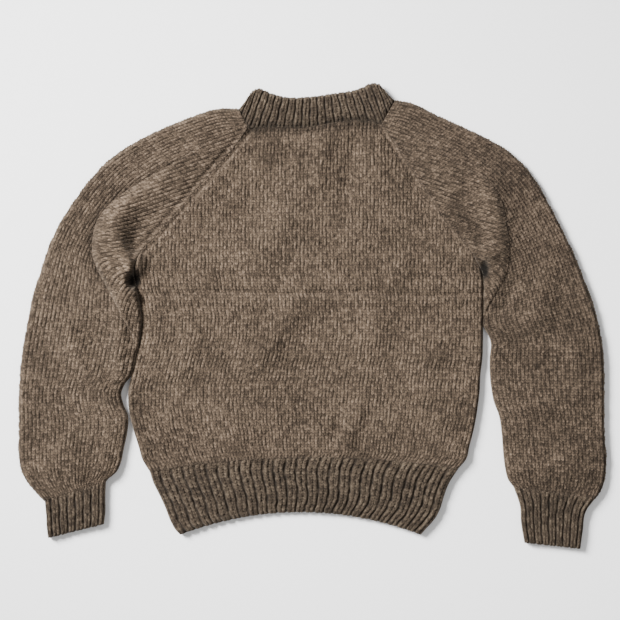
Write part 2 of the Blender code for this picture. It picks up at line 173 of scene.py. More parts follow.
# %% Measurements of the sleeves
RIGHT_CAP = (
    # outer x, outer y, pleat distance, pleat height, crest width, grain
    (-111, 310, 12, 0.0, 4, 20),
    (-146, 309, 24, 0.0, 8, 20),
    (-190, 294, 36, 0.0, 10, 20),
    (-232, 277, 48, 1.2, 10, 20),
    (-272, 256, 62, 4.5, 8, 20),
    (-310, 229, 76, 8.5, 6, 20),
    (-341, 194, 84, 11.5, 8, 18),
    (-362, 165, 80, 14.0, 20, 14),
    (-379, 138, 74, 15.0, 47, 10),
    (-391, 113, 66, 14.0, 51, 12),
    (-399, 92, 58, 12.0, 45, 24),
    (-406, 70, 49, 9.0, 37, 44),
    (-417, 36, 37, 5.5, 26, 66),
    (-424, 4, 26, 3.2, 16, 80),
    (-430, -28, 10, 1.0, 6, 84),
    (-435, -58, 0, 0.0, 0, 84),
    (-438, -86, 0, 0.0, 0, 84),
)
RIGHT_ARM = (
    # inner x, inner y, outer x, outer y
    (-281, -101, -439, -104),
    (-287, -116, -440, -122),
    (-284, -132, -440, -140),
    (-277, -150, -440, -160),
    (-278, -174, -440, -184),
    (-283, -198, -440, -206),
    (-288, -221, -437, -228),
    (-295, -235, -429, -246),
    (-305, -243, -416, -262),
    (-310, -249, -402, -277),
)
LEFT_CAP = (
    # outer x, outer y, pleat distance, pleat height, crest width, grain
    (124, 323, 14, 0.0, 4, 20),
    (152, 317, 26, 0.0, 8, 20),
    (186, 300, 38, 0.0, 10, 20),
    (222, 284, 50, 0.5, 12, 20),
    (262, 265, 64, 1.2, 10, 20),
    (300, 241, 86, 2.0, 12, 20),
    (329, 210, 82, 2.8, 8, 20),
    (350, 175, 66, 3.4, 4, 20),
    (366, 145, 54, 3.6, 4, 22),
    (379, 119, 42, 3.0, 8, 30),
    (390, 96, 35, 2.2, 8, 44),
    (398, 77, 23, 1.3, 6, 60),
    (410, 46, 6, 0.4, 4, 80),
    (419, 22, 0, 0.0, 0, 84),
)
LEFT_ARM = (
    # inner x, inner y, outer x, outer y
    (264, -29, 427, -6),
    (268, -43, 433, -36),
    (266, -62, 436, -62),
    (266, -84, 437, -86),
    (268, -106, 437, -110),
    (272, -128, 437, -134),
    (280, -150, 437, -158),
    (284, -178, 438, -186),
    (286, -204, 440, -212),
    (289, -228, 439, -236),
    (294, -246, 434, -257),
    (302, -257, 424, -274),
)
print("sleeve rows:", len(RIGHT_CAP) + len(RIGHT_ARM), "and", len(LEFT_CAP) + len(LEFT_ARM))

# %% [markdown]
# ## Creases and soft rolls
#
# A garment that was folded in a drawer keeps a crease across the chest, and soft cloth never lies
# quite flat. A cloth simulation could find such folds. But these have known places, which it
# wouldn't hit, so each crease or roll is one row: a line, how wide it is, and how high or deep.

# %% Creases of each piece
ARMHOLE_FOLDS = (
    # x0, y0, x1, y1, half width, height: rolls that cross from the front into a sleeve
    (188, 162, 230, 98, 15.0, 4.6),
    (224, 172, 258, 112, 12.0, -3.0),
    (250, 96, 268, 92, 9.0, 5.5),
    (-262, 85, -264, 72, 11.0, 11.0),
    (118, 256, 152, 206, 10.0, -2.6),
    (-262, 52, -256, 24, 9.0, -1.8),
    (246, 76, 256, 60, 8.0, -2.2),
    (-130, 250, -176, 196, 12.0, -1.0),
)
FRONT_FOLDS = (
    # x0, y0, x1, y1, half width, height
    (-252, 31, -140, 37, 4.2, -1.3),
    (-140, 37, -30, 34, 4.0, -2.0),
    (-30, 34, 70, 37, 4.0, -2.3),
    (70, 37, 160, 30, 4.4, -1.4),
    (160, 30, 252, 34, 4.2, -1.7),
    (-236, 22, 240, 22, 8.0, 1.6),
    (-240, 46, 240, 45, 9.0, 1.0),
    (-19, 24, -79, -66, 20.0, 3.9),
    (80, 20, 95, -30, 20.0, 3.1),
    (-40, -50, -25, -70, 17.0, -2.5),
    (-176, -6, -191, -76, 16.0, 2.1),
    (64, -140, 46, -200, 13.0, 2.6),
    (40, -163, 19, -201, 8.0, -2.4),
    (88, -146, 68, -201, 9.0, -1.8),
    (19, 268, 11, 205, 15.0, 3.4),
    (62, 262, 50, 190, 11.0, -3.0),
    (-150, -150, -120, -200, 20.0, 2.1),
    (170, -60, 190, -170, 24.0, 2.3),
    (-100, 230, -160, 150, 12.0, -1.5),
    (120, 214, 175, 140, 12.0, -1.8),
    (-262, 36, -259, -70, 16.0, -4.2),
    (-30, 150, -90, 90, 22.0, 2.6),
    (60, 120, 130, 70, 22.0, 2.6),
    (-60, 210, -110, 150, 18.0, -2.2),
    (90, 180, 140, 120, 18.0, -2.2),
    (-200, 60, -140, 48, 14.0, -1.5),
    (206, 70, 150, 52, 14.0, -1.5),
    (-70, -180, -52, -206, 10.0, -1.8),
    (130, -170, 120, -205, 10.0, -1.5),
    (-204, -180, -214, -215, 10.0, -1.5),
)
RIGHT_SLEEVE_FOLDS = (
    # x0, y0, x1, y1, half width, height
    (-375, -25, -306, -118, 15.0, 5.0),
    (-340, -22, -300, -70, 12.0, -2.4),
    (-316, -132, -290, -142, 13.0, -1.6),
    (-285, 34, -291, -92, 13.0, 6.0),
    (-372, -200, -350, -235, 16.0, 3.6),
    (-400, 20, -392, 110, 18.0, 2.0),
    (-300, -170, -316, -228, 13.0, 3.0),
    (-340, -150, -400, -130, 18.0, -2.6),
    (-170, 250, -255, 215, 14.0, 2.4),
    (-150, 268, -250, 246, 12.0, -1.0),
    (-398, -232, -386, -262, 9.0, 1.8),
    (-376, -236, -368, -258, 5.0, -1.6),
    (-330, -226, -336, -250, 5.0, -1.6),
)
LEFT_SLEEVE_FOLDS = (
    # x0, y0, x1, y1, half width, height
    (262, 200, 284, 106, 22.0, 7.0),
    (352, 58, 344, 6, 17.0, 3.4),
    (341, 0, 284, -26, 15.0, 2.6),
    (300, 44, 282, 10, 12.0, -3.6),
    (292, -72, 318, -90, 16.0, -3.2),
    (300, -134, 350, -142, 16.0, 3.4),
    (318, -190, 350, -206, 17.0, -3.2),
    (372, -226, 404, -246, 16.0, 3.2),
    (160, 258, 246, 226, 14.0, 2.4),
    (150, 290, 236, 262, 12.0, -1.0),
    (398, -60, 404, -150, 18.0, 2.4),
    (330, -236, 334, -262, 5.0, -1.6),
    (392, -242, 390, -268, 5.0, -1.6),
    (352, -228, 354, -262, 7.0, 1.6),
)


def bell(distance, half_width):
    """Bell curve, 1 in its middle: exp(-(distance / half width) squared)."""
    return np.exp(-((distance / half_width) ** 2))


def ridge(plan, fold):
    """A soft straight roll: its height times a bell curve of the distance to its line."""
    x0, y0, x1, y1, half_width, height = fold
    start = np.array((x0, y0), float)
    run = np.array((x1, y1), float) - start
    share = np.clip((plan - start) @ run / (run @ run), 0, 1)
    distance = np.linalg.norm(plan - start - share[..., None] * run, axis=-1)
    return height * bell(distance, half_width)


print("creases:", sum(len(folds) for folds in
                      (ARMHOLE_FOLDS, FRONT_FOLDS, RIGHT_SLEEVE_FOLDS, LEFT_SLEEVE_FOLDS)))

# %% Hollows at the armpits
# The hollows are sunk, and their wool is also drawn darker: painted shade.
ARMPITS = (
    # x, y, half width, half height: the hollow under each pleat, drawn dark with painted shade
    (-268, 53, 10.0, 13.0),
    (258, 69, 7.5, 13.0),
)
HOLLOW_FLOOR = 5.2          # height of the cloth in a hollow
HOLLOW_SHADE = 1.78         # the most painted shade that wool takes, in a hollow or a furrow
SHADE_GAIN = 2.4            # how fast a hollow's painted shade comes to it


def armpit(plan):
    """1 in a hollow's middle: exp(-q^2), where q = (x / half width)^2 + (y / half height)^2."""
    return sum(bell(((plan[..., 0] - x) / wide) ** 2 + ((plan[..., 1] - y) / high) ** 2, 1)
               for x, y, wide, high in ARMPITS)


def armpit_shade(plan):
    """Painted shade in a hollow's wool: it grows with the hollow up to the darkest shade."""
    return np.minimum(SHADE_GAIN * armpit(plan), HOLLOW_SHADE)


def sink(plan, z):
    """Draw the height down to the hollow's floor."""
    return z + (HOLLOW_FLOOR - z) * armpit(plan)


print("hollows:", len(ARMPITS))

# %% [markdown]
# ## From rows to smooth edges
#
# A few measured rows become smooth edges by a cubic between each two rows, whose slope at a row is
# the slope between its neighbours. The distance along the piece's middle is the parameter, so a
# course of stitches can be asked for at any height. A curve object would be as smooth, but a
# formula gives thousands of points in one step.

# %% Smooth rows and moved points


def curve(knots, rows, at):
    """Cubic through the rows: on each stretch, its ends and slopes joined by the Hermite blend."""
    rows = np.asarray(rows, float)
    slope = np.gradient(rows, knots, axis=0)
    i = np.clip(np.searchsorted(knots, at, side="right") - 1, 0, len(knots) - 2)
    step = knots[i + 1] - knots[i]
    t = (at - knots[i]) / step
    if rows.ndim > 1:
        t, step = t[..., None], step[..., None]
    return ((2 * t**3 - 3 * t**2 + 1) * rows[i] + (t**3 - 2 * t**2 + t) * step * slope[i]
            + (3 * t**2 - 2 * t**3) * rows[i + 1] + (t**3 - t**2) * step * slope[i + 1])


def middle_knots(left, right, arch=0.0):
    """Distance of each row along the line of the rows' middles."""
    middle = (left + right) / 2
    middle[:, 1] += arch
    return np.concatenate(([0.0], np.cumsum(np.linalg.norm(np.diff(middle, axis=0), axis=1))))


def pull(points, towards, distance):
    """Move each point a short distance towards its partner."""
    away = towards - points
    return points + distance * away / np.linalg.norm(away, axis=-1, keepdims=True)


def lattice_rows(length):
    """Half courses from one end of a piece to the other, and the height of one course."""
    courses = round(length / COURSE)
    return np.arange(ALONG * courses + 1) / ALONG, length / courses


def end_ramp(v):
    """From 0 on the first and the last course to 1 a course away from them."""
    return np.clip(np.minimum(v, v.max() - v), 0, 1)


body_table = np.array(BODY, float)
body_left, body_right = body_table[:, 0:2], body_table[:, 2:4]
body_knots = middle_knots(body_left, body_right, body_table[:, 4])
body_length = body_knots[-1]
armpit_at = body_knots[ARMPIT_ROW]
print("front from welt to neck:", round(body_length), "mm,", lattice_rows(body_length)[0][-1], "courses")

# %% [markdown]
# ## One layer of a flattened tube
#
# Across the cloth, the height is level in the middle and follows a quarter circle down to the
# side seam at a free edge. At a sewn edge it stays level and dips into the seam's groove. The
# inner side has a smaller circle, so the wall keeps its thickness round the fold. A Solidify
# modifier could give the wall, but here only the outer side has stitches.

# %% Heights across a layer
INNER_SHARE = 0.3           # share of the lift that the hidden side needs, so that furrows clear it


def springs(across, width, free, wall, hollow):
    """Lift of the springy fold: its excess height times exp(-distance past the fold / reach)."""
    radius = wall + hollow
    excess = 2 * hollow - LAYER_GAP
    left = free[0] * np.exp(-np.clip(across - radius, 0, None) / EDGE_SPREAD)
    right = free[1] * np.exp(-np.clip(width - across - radius, 0, None) / EDGE_SPREAD)
    return excess * (left + right)


def rib_level(across, width, free):
    """How much higher the ribbing's level is than the plain cloth's that it joins."""
    rib = springs(across, width, (free, free), RIB_WALL, CUFF_HOLLOW)
    plain = springs(across, width, (free, free), WALL, FOLD_HOLLOW)
    return 2 * (RIB_WALL - WALL) + rib - plain


def edge_turn(distance, radius):
    """How far a quarter-round edge has turned down: 1 - sqrt(1 - (1 - distance / radius)^2)."""
    return 1 - np.sqrt(1 - np.clip(1 - distance / radius, 0, 1) ** 2)


def turns(across, width, free, radius):
    """How far each of the two edges has turned down, times its freedom."""
    return free[0] * edge_turn(across, radius), free[1] * edge_turn(width - across, radius)


def turned_down(level, across, width, free, rim, radius):
    """The level, brought down to each rim as far as that edge has turned."""
    down = turns(across, width, free, radius)
    return level - (level - rim[0]) * down[0] - (level - rim[1]) * down[1]


def top_height(across, width, free, rim, wall, hollow, lift):
    """Upper layer's outer height: its level, the springs and the lift, turned down at the edges."""
    level = 2 * wall + LAYER_GAP + lift + springs(across, width, free, wall, hollow)
    level = level - SEAM_DIP * (1 - free[0]) * bell(across, SEAM_REACH)
    level = level - SEAM_DIP * (1 - free[1]) * bell(width - across, SEAM_REACH)
    return turned_down(level, across, width, free, rim, wall + hollow)


def under_height(across, width, free, rim, wall, hollow):
    """Upper layer's inner height, in the same way."""
    level = wall + LAYER_GAP / 2 + INNER_SHARE * springs(across, width, free, wall, hollow)
    return turned_down(level, across, width, free, rim, wall + hollow)


def inner_slide(across, width, free, wall, hollow):
    """Where an inner point stands: at the small circle's place instead of the large one's."""
    radius = wall + hollow
    left = np.clip(1 - across / radius, 0, 1)
    right = np.clip(1 - (width - across) / radius, 0, 1)
    move = free[0] * np.where(left > 0, radius - hollow * left - across, 0)
    return across + move - free[1] * np.where(right > 0, radius - hollow * right - (width - across), 0)


def unroll(distance, radius):
    """Plan distance of a point that lies this far over a quarter-round edge, along the cloth."""
    arc = radius * math.pi / 2
    return np.where(distance < arc, radius * (1 - np.cos(np.minimum(distance, arc) / radius)),
                    distance - arc + radius)


def unrolled(along, cloth, width, radius):
    """Plan distance from the left edge of a point this far along a cloth with two round edges."""
    return np.where(along < cloth / 2, unroll(along, radius), width - unroll(cloth - along, radius))


ROUND = math.pi / 2 - 1     # extra cloth in a quarter-round edge, in radii
print("cloth round a side fold:", round((WALL + FOLD_HOLLOW) * math.pi / 2, 1), "mm")

# %% [markdown]
# ## The stitch itself
#
# A stocking stitch shows as a V: two legs that climb outwards from a point. Each wale has four
# points across: its edge groove, a leg, the middle groove, the other leg. The points on a leg
# stand up, most of all at the leg's fullest place, and the lattice is sheared so that the rows
# climb outwards with the legs. A loop of yarn as a tube for each stitch would be truer close up,
# but there are far too many stitches for that.

# %% Stitch heights
MEAN_RELIEF = 1.1           # mean height of the stitches above the smooth form
EDGE_FADE = 3.0             # over what distance the stitches rise from an edge
CHAIN_REACH = 10            # how far from a raglan seam its chain of stitches reaches
UP = np.array((0.0, 0.0, 1.0))


def leg_climb(u):
    """How far the V's leg has climbed at this place in the wale: LEG_RISE times |2 frac(u) - 1|."""
    return LEG_RISE * np.abs(2 * (u % 1) - 1)


def uneven(u, v, seed):
    """A seeded random number from -1 to 1 for each leg of each stitch, repeated after 89 of them."""
    table = np.random.default_rng(seed).uniform(-1, 1, (89, 89))
    return table[np.floor(v + 0.25).astype(int) % 89, np.floor(2 * u + 0.5).astype(int) % 89]


def drift(u, v):
    """A wale wanders a little sideways: three long sines of wale and course, in wales."""
    return 0.10 * np.sin(0.9 * v + 0.7 * np.sin(0.31 * u)) + 0.07 * np.sin(0.37 * v + 1.3 * u)


def stitch_height(u, v):
    """|sin| gives the two legs, a power of a cosine the shallow middle groove, and a cosine in v
    the fullest place of each leg, once a course. No two stitches are quite as high."""
    legs = np.abs(np.sin(2 * math.pi * u)) + 0.6 * (0.5 - 0.5 * np.cos(2 * math.pi * u)) ** 4
    swell = 0.78 + 0.22 * np.cos(2 * math.pi * v)
    loose = 1 + 0.4 * uneven(u, v, 3)
    return STITCH_HEIGHT * legs * swell * loose + 0.3 * uneven(u / 3, v / 2, 4)


def seam_chain(distance, plan):
    """The chain of slanting stitches along a raglan seam, mirrored in it: a ridge times a cosine
    of the height up the body less the distance from the seam, between two shallow grooves."""
    bumps = 0.62 + 0.38 * np.cos(2 * math.pi * (plan[..., 1] - 0.9 * distance) / 5.6)
    groove = 0.8 * bell(distance - 6.4, 1.7)
    return STITCH_HEIGHT * bumps * np.exp(-((distance / 3.8) ** 4)) - groove


def settled(height, courses):
    """The relief, brought to its mean over the half course beside a joined edge."""
    share = np.clip(courses * 2, 0, 1)
    return MEAN_RELIEF + (height - MEAN_RELIEF) * share


def normals(points):
    """Unit normals of a grid: the cross product of its steps along and across."""
    along = np.gradient(points, axis=0)
    across = np.gradient(points, axis=1)
    cross = np.cross(across, along)
    size = np.linalg.norm(cross, axis=-1, keepdims=True)
    return np.where(size > 1e-9, cross / np.maximum(size, 1e-9), 0.0)


print("a stitch has", 2 * ACROSS * ALONG, "triangles")

# %% [markdown]
# ## Making a closed piece of cloth
#
# Real knitting is a sheet with a thickness, so each piece is a closed wall. The outer skin is the
# fine lattice. The inner skin is plain, so it is a coarse grid, which saves half the points, and
# each rim face joins a run of fine points to two coarse ones. Where a seam cuts the wales short,
# their points lie on top of each other and are merged.

# %% Grid to mesh


def coarse_indices(count, ring=False):
    """Every COARSE-th index, and the last one unless the grid closes on itself."""
    picked = list(range(0, count, COARSE))
    if ring or picked[-1] == count - 1:
        return np.array(picked)
    return np.array(picked + [count - 1])


def coarse_picks(grid, ring=False):
    """Places of the coarse grid's points in a fine grid."""
    return np.ix_(coarse_indices(grid.shape[0]), coarse_indices(grid.shape[1], ring))


def grid_quads(rows, columns, start, ring):
    """Corner indices of every cell of a grid, closed across the last column if it is a ring."""
    row, column = np.meshgrid(np.arange(rows - 1), np.arange(columns if ring else columns - 1),
                              indexing="ij")
    near = start + row * columns + column
    far = start + row * columns + (column + 1) % columns
    return np.stack((near, far, far + columns, near + columns), axis=-1).reshape(-1, 4)


def rim_faces(runs, inner):
    """One face for each run of fine points and the two coarse points beside it."""
    return [list(run) + [b, a] for run, a, b in zip(runs, inner[:-1], inner[1:])]


def cloth_piece(name, outer, inner, knit, shade, dimmed, ring=False, painted_tone_shade=0.0):
    """Closed wall of knitting. Its attribute "knit" holds wale, course, and 1 where the stitches
    aren't modelled. "yarn" holds each leg's own tone, shifted on a sleeve by a painted shade; the
    painted shade of hollows, furrows and seams; and a dimming of the colour, which is painted shade
    on the rib and by the seams, less painted light on raised cloth. The two skins are smooth and the
    rims flat."""
    rows, columns = outer.shape[:2]
    row_picks = coarse_indices(rows)
    column_picks = coarse_indices(columns, ring)
    inner_columns = len(column_picks)
    start = rows * columns
    quads = grid_quads(rows, columns, 0, ring)
    plain_quads = grid_quads(len(row_picks), inner_columns, start, ring)[:, ::-1]
    faces = quads.tolist() + plain_quads.tolist()
    skins = len(faces)
    bounds = list(column_picks) + ([columns] if ring else [])
    for fine_row, coarse_row in ((0, 0), (rows - 1, len(row_picks) - 1)):
        runs = [[fine_row * columns + c % columns for c in range(a, b + 1)]
                for a, b in zip(bounds[:-1], bounds[1:])]
        beside = [start + coarse_row * inner_columns + i % inner_columns for i in range(len(bounds))]
        faces += rim_faces(runs, beside)
    if not ring:
        for fine_column, coarse_column in ((0, 0), (columns - 1, inner_columns - 1)):
            runs = [[r * columns + fine_column for r in range(a, b + 1)]
                    for a, b in zip(row_picks[:-1], row_picks[1:])]
            beside = [start + i * inner_columns + coarse_column for i in range(len(row_picks))]
            faces += rim_faces(runs, beside)
    points = np.concatenate((outer.reshape(-1, 3), inner.reshape(-1, 3))) * MM
    mesh = bpy.data.meshes.new(name)
    mesh.from_pydata(points.tolist(), [], faces)
    mesh.polygons.foreach_set("use_smooth", np.arange(len(faces)) < skins)
    blank = np.zeros((inner.shape[0] * inner.shape[1], 3))
    blank[:, 2] = 1.0
    # shade is painted shade, drawn into the wool's colour; a sleeve's tone shift is painted shade too
    shade = np.minimum(shade, HOLLOW_SHADE)
    tone = np.dstack((uneven(knit[..., 0], knit[..., 1], 5) + painted_tone_shade, shade, dimmed + 0 * shade))
    for key, values in (("knit", knit), ("yarn", tone)):
        values = np.concatenate((values.reshape(-1, 3), blank)).astype(np.float32)
        mesh.attributes.new(key, "FLOAT_VECTOR", "POINT").data.foreach_set("vector", values.ravel())
    shape = bmesh.new()
    shape.from_mesh(mesh)
    bmesh.ops.remove_doubles(shape, verts=shape.verts, dist=1e-6)
    bmesh.ops.dissolve_degenerate(shape, edges=shape.edges, dist=1e-6)
    bmesh.ops.recalc_face_normals(shape, faces=shape.faces)
    shape.to_mesh(mesh)
    shape.free()
    piece = bpy.data.objects.new(name, mesh)
    bpy.context.scene.collection.objects.link(piece)
    print(name, len(mesh.polygons), "faces")
    return piece


print("the hidden side has one point for", COARSE**2, "outer ones")

# %% [markdown]
# ## Shape of the body
#
# Up to the armpits, the body's wales spread evenly from side to side. Above, they run straight
# up and the raglan seams cut them off, one after another, as the knitter's decreases do. A grid
# that narrowed with the rows would be simpler, but its stitches would shrink towards the neck.

# %% Plan of the body
BODY_WALES = 96
WAVE_REACH = 26.0           # how far below the neck seam the courses follow its waves
COURSE_SHIFT = 4            # over what distance the last courses draw back from a seam
NECK_FOLD = (*BODY[-1][0:4], NECK_REACH, NECK_LIFT)


def neck_line(share):
    """Front neck seam between the raglan seams: its chord with three sine waves on it."""
    line = body_left[-1] + share[..., None] * (body_right[-1] - body_left[-1])
    for order, height in enumerate(NECK_WAVE, start=1):
        line[..., 1] += height * np.sin(order * math.pi * share)
    return line


def body_plan(at, share):
    """Point of the body at a distance up its middle and a share across: a straight row between
    the two smooth edges, arched as a parabola, and waved near the neck seam."""
    left = curve(body_knots, pull(body_left, body_right, SLANT_GAP), at)
    right = curve(body_knots, pull(body_right, body_left, SLANT_GAP), at)
    points = left + share[..., None] * (right - left)
    points[..., 1] += curve(body_knots, body_table[:, 4], at) * 4 * share * (1 - share)
    near_neck = np.clip(1 - (body_length - at) / WAVE_REACH, 0, 1) ** 2
    chord = body_left[-1] + share[..., None] * (body_right[-1] - body_left[-1])
    points[..., 1] += near_neck * (neck_line(share) - chord)[..., 1]
    near_seams = np.clip(1 - at / COURSE_SHIFT, 0, 1) - np.clip(1 - (body_length - at) / COURSE_SHIFT, 0, 1)
    points[..., 1] += SEAM / 2 * near_seams
    return points, np.linalg.norm(right - left, axis=-1)


def side_freedom(at):
    """How free the body's edges are: 1 at the side folds, 0 along the raglan seams."""
    return np.clip(curve(body_knots, body_table[:, 5], at), 0, 1)


def wale_share(u, at, radius):
    """Share across the row of wale u: even along the cloth up to the armpits, and above them at
    the x that the wale has at the armpits, held between the two seams."""
    low_at = np.minimum(at, armpit_at)
    plan, width = body_plan(low_at, np.zeros(at.shape))
    cloth = width + 2 * ROUND * radius * side_freedom(low_at)
    from_left = unrolled(u / BODY_WALES * cloth, cloth, width, radius)
    share = from_left / width
    x_there = plan[..., 0] + from_left
    left, wide = body_plan(at, np.zeros(at.shape))
    cut = (x_there - left[..., 0]) / wide
    share = np.where(at > armpit_at, cut, share)
    held = np.clip(share, 0, 1)
    return held, wide, held != share


print("armpits", round(armpit_at), "mm above the welt")

# %% [markdown]
# ## Front
#
# The front is a panel of stocking stitch. It lies on top, so it has the creases and every stitch.
# Its last courses rise to the neckband and are drawn darker under it, and its first ones are
# drawn darker where the welt begins, to match the rib: both painted shade. It could be cut out
# of a plain sheet with a Boolean, but wales that stop at the seam leave a clean edge, as real
# decreases do.

# %% Front
WELT_REACH = 16             # over what distance the folds die out above the welt
NECK_ROLL = (0.5, 5)        # rise of the last courses at the neck seam, and its reach
NECK_DIP = (-1.2, 6, 9)     # dip below them: height, half width, distance from the seam
NECK_SHADE = (1.0, 10)      # painted shade under the neckband: its strength and reach
SEAM_DIMMING = (0.45, 14)     # painted shade on the stocking stitch by the welt, to match the rib: its strength and reach


def knit_front():
    """Fine lattice of the front's upper side over a plain inner side."""
    radius = WALL + FOLD_HOLLOW
    v, course = lattice_rows(body_length)
    u = np.arange(ACROSS * BODY_WALES + 1) / ACROSS
    v, u = np.meshgrid(v, u, indexing="ij")
    ramp = end_ramp(v)
    at = np.clip((v + leg_climb(u) * ramp) * course, 0, body_length)
    middle = np.clip(np.minimum(u, BODY_WALES - u) / 3, 0, 1)
    share, _, held = wale_share(u + drift(u, v) * ramp * middle, at, radius)
    at = np.where(held, v * course, at)
    share = np.where(held, np.round(share), share)
    plan, width = body_plan(at, share)
    across = share * width
    free = side_freedom(at)
    rim = (radius + SEAM / 2,) * 2
    to_neck = body_length - at
    folds = sum(ridge(plan, fold) for fold in ARMHOLE_FOLDS + FRONT_FOLDS)
    lift = folds * (1 - bell(at, WELT_REACH)) + ridge(plan, NECK_FOLD)
    lift = lift + NECK_ROLL[0] * bell(to_neck, NECK_ROLL[1])
    lift = lift + NECK_DIP[0] * bell(to_neck - NECK_DIP[2], NECK_DIP[1])
    lift = lift + rib_level(across, width, free) * bell(at, RIB_REACH)
    z = sink(plan, top_height(across, width, (free, free), rim, WALL, FOLD_HOLLOW, lift))
    base = np.dstack((plan, z))
    edge = np.minimum(across, width - across)
    raglan = (1 - free) * (edge < CHAIN_REACH)
    strength = np.clip(edge / EDGE_FADE, 0, 1) * (1 - raglan) * ~held
    height = settled(stitch_height(u, v), ramp) * strength + seam_chain(edge, plan) * raglan
    outer = base + np.where(held[..., None], UP, normals(base)) * height[..., None]
    picks = coarse_picks(v)
    slid = inner_slide(across, width, (free, free), WALL, FOLD_HOLLOW)[picks] / width[picks]
    inner_plan, _ = body_plan(at[picks], slid)
    inner_z = under_height(across[picks], width[picks], (free[picks],) * 2, rim, WALL, FOLD_HOLLOW)
    inner = np.dstack((inner_plan, inner_z + ridge(inner_plan, NECK_FOLD)))
    knit = np.dstack((np.where(held, share * BODY_WALES, u), at / course, 0 * u))
    # painted shade in the armpit hollow and under the neckband, and a dimming by the welt that is painted
    # shade too
    shade = armpit_shade(plan) + NECK_SHADE[0] * bell(to_neck, NECK_SHADE[1])
    dimmed = SEAM_DIMMING[0] * np.exp(-at / SEAM_DIMMING[1])
    return cloth_piece("front_knit", outer, inner, knit, shade, dimmed)


front = knit_front()

# %% [markdown]
# ## Back
#
# The back has the same outline and lies underneath, so its underside is flat and its stitches are
# pressed in. It could be modelled like the front. But nobody sees it from above, so a coarser
# grid and a bump do.

# %% Back


def knit_back():
    """Plain underside that lies flat on the surface, turned up at the side seams."""
    radius = WALL + FOLD_HOLLOW
    at = np.linspace(0, body_length, 97)
    u = np.concatenate((np.linspace(0, 4, 9), np.linspace(5, BODY_WALES - 5, 63),
                        BODY_WALES - np.linspace(4, 0, 9)))
    at, u = np.meshgrid(at, u, indexing="ij")
    share, width, held = wale_share(u, at, radius)
    plan, width = body_plan(at, share)
    across = share * width
    free = side_freedom(at)
    rim = radius - SEAM / 2
    down = sum(turns(across, width, (free, free), radius))
    outer = np.dstack((plan, rim * down))
    picks = coarse_picks(at)
    slid = inner_slide(across, width, (free, free), WALL, FOLD_HOLLOW)[picks] / width[picks]
    inner_plan, _ = body_plan(at[picks], slid)
    inner = np.dstack((inner_plan, WALL + (rim - WALL) * down[picks]))
    knit = np.dstack((np.where(held, share * BODY_WALES, u), at / COURSE, 0 * u + 1))
    return cloth_piece("back_knit", outer, inner, knit, 0 * u, 0)


back = knit_back()

# %% [markdown]
# ## Sleeves
#
# Each sleeve is one sheet that starts at the raglan or underarm seam, crosses the top layer,
# turns round the outer fold and comes back underneath. In front of the armpit the cloth keeps
# the slope of a spread sleeve, and rolls over at a soft pleat where the arm was folded down. So
# its wales run nearly level there, and the arm's own wales come out from under the roll. The nook
# where they meet is drawn darker with painted shade, the more so the fuller the pleat, and the
# pleat's raised cloth is drawn lighter with painted light. The pleat could be sculpted. But as a
# section that depends on the distance from the seam, it keeps the stitches' own size.

# %% Plan and section of a sleeve
ARM_WALES = 29              # wales all round the arm
SLEEVE_FULLNESS = (2.6, 8.0)    # how far each sleeve puffs up: the right, then the left
PUFF_POWER = (4, 1.3)       # the puff falls off as this power of the share across
SLEEVE_PAINTED_SHADE = (-0.1, -0.35)        # painted shade: each sleeve's flecks are drawn a little darker, the left one, farther from the key light, more
CREST_PAINTED_LIGHT = 0.055        # painted light: how much lighter each millimetre of rise draws the raised cloth
PLEAT_RISE = (40.0, 38.0)   # width of the slope between each pleat's valley and its crest
VALLEY = (0.12, 9.0, 8.0)   # dip before the slope, in pleat heights, its half width, room it needs
CREST_FALL = (0.4, 0.1)     # share of its height that each crest loses on the way to its lip
LIP_SLOPE = (0.7, 2.4)      # width of each lip's slope, in pleat heights
LIP_FILL = (0.4, 1.7)       # relief along each lip, where the two sets of wales meet
LIP_SHADE = 0.75            # painted shade: how dark the arm is drawn in the nook under a full pleat
FULL_PLEAT = 12             # height of a pleat whose nook takes the full painted shade
NOOK_REACH = 7              # how far out of the nook its painted shade reaches
TROUGH = (0.12, 10.0)       # dip of the arm at the nook, in pleat heights, and its half width
CUFF_REACH = 22             # over what distance the folds die out above the cuff
CUFF_DIMMING = (0.45, 12)     # painted shade on the stocking stitch by the cuff, to match the rib: its strength and reach
LEAST_CROSSING = 0.12       # the wales never run closer than this to a row's own direction
UNDER_WALES = 100           # the underside's wales are numbered from here, so their flecks differ
LOW_SHARES = np.linspace(0, 1, 16)[1:-1]    # places of the underside's points across
FREE, NOSE, PLEAT, CREST, GRAIN = range(4, 9)   # columns of a sleeve's table, after its edges


def sleeve_rows(seam_side, cap, arm):
    """Edges, freedom and pleat of every measured row, and the rows' places along the sleeve."""
    cap, arm = np.array(cap, float), np.array(arm, float)
    seam_rows = body_table[::-1][:len(cap)]
    inner = np.concatenate((seam_rows[:, seam_side], arm[:, 0:2]))
    outer = np.concatenate((cap[:, 0:2], arm[:, 2:4]))
    free = np.concatenate((seam_rows[:, 5], np.ones(len(arm))))
    pleat = np.concatenate((cap[:, 2:6], np.zeros((len(arm), 4))))
    inner = pull(inner, outer, SLANT_GAP)
    for edge in (inner, outer):
        edge[0] = pull(edge[0], edge[1], SLANT_GAP)
        edge[-1] = pull(edge[-1], edge[-2], SLANT_GAP)
    return np.column_stack((inner, outer, free, pleat)), middle_knots(inner, outer)


def pleat_drop(nose, height, side):
    """Where the crest ends, how wide its outer slope is, and how much cloth lies on that slope."""
    wide = np.minimum(LIP_SLOPE[side] * height + 2.0, nose / 2)
    return nose - wide, wide, np.hypot(wide, (1 - CREST_FALL[side]) * height)


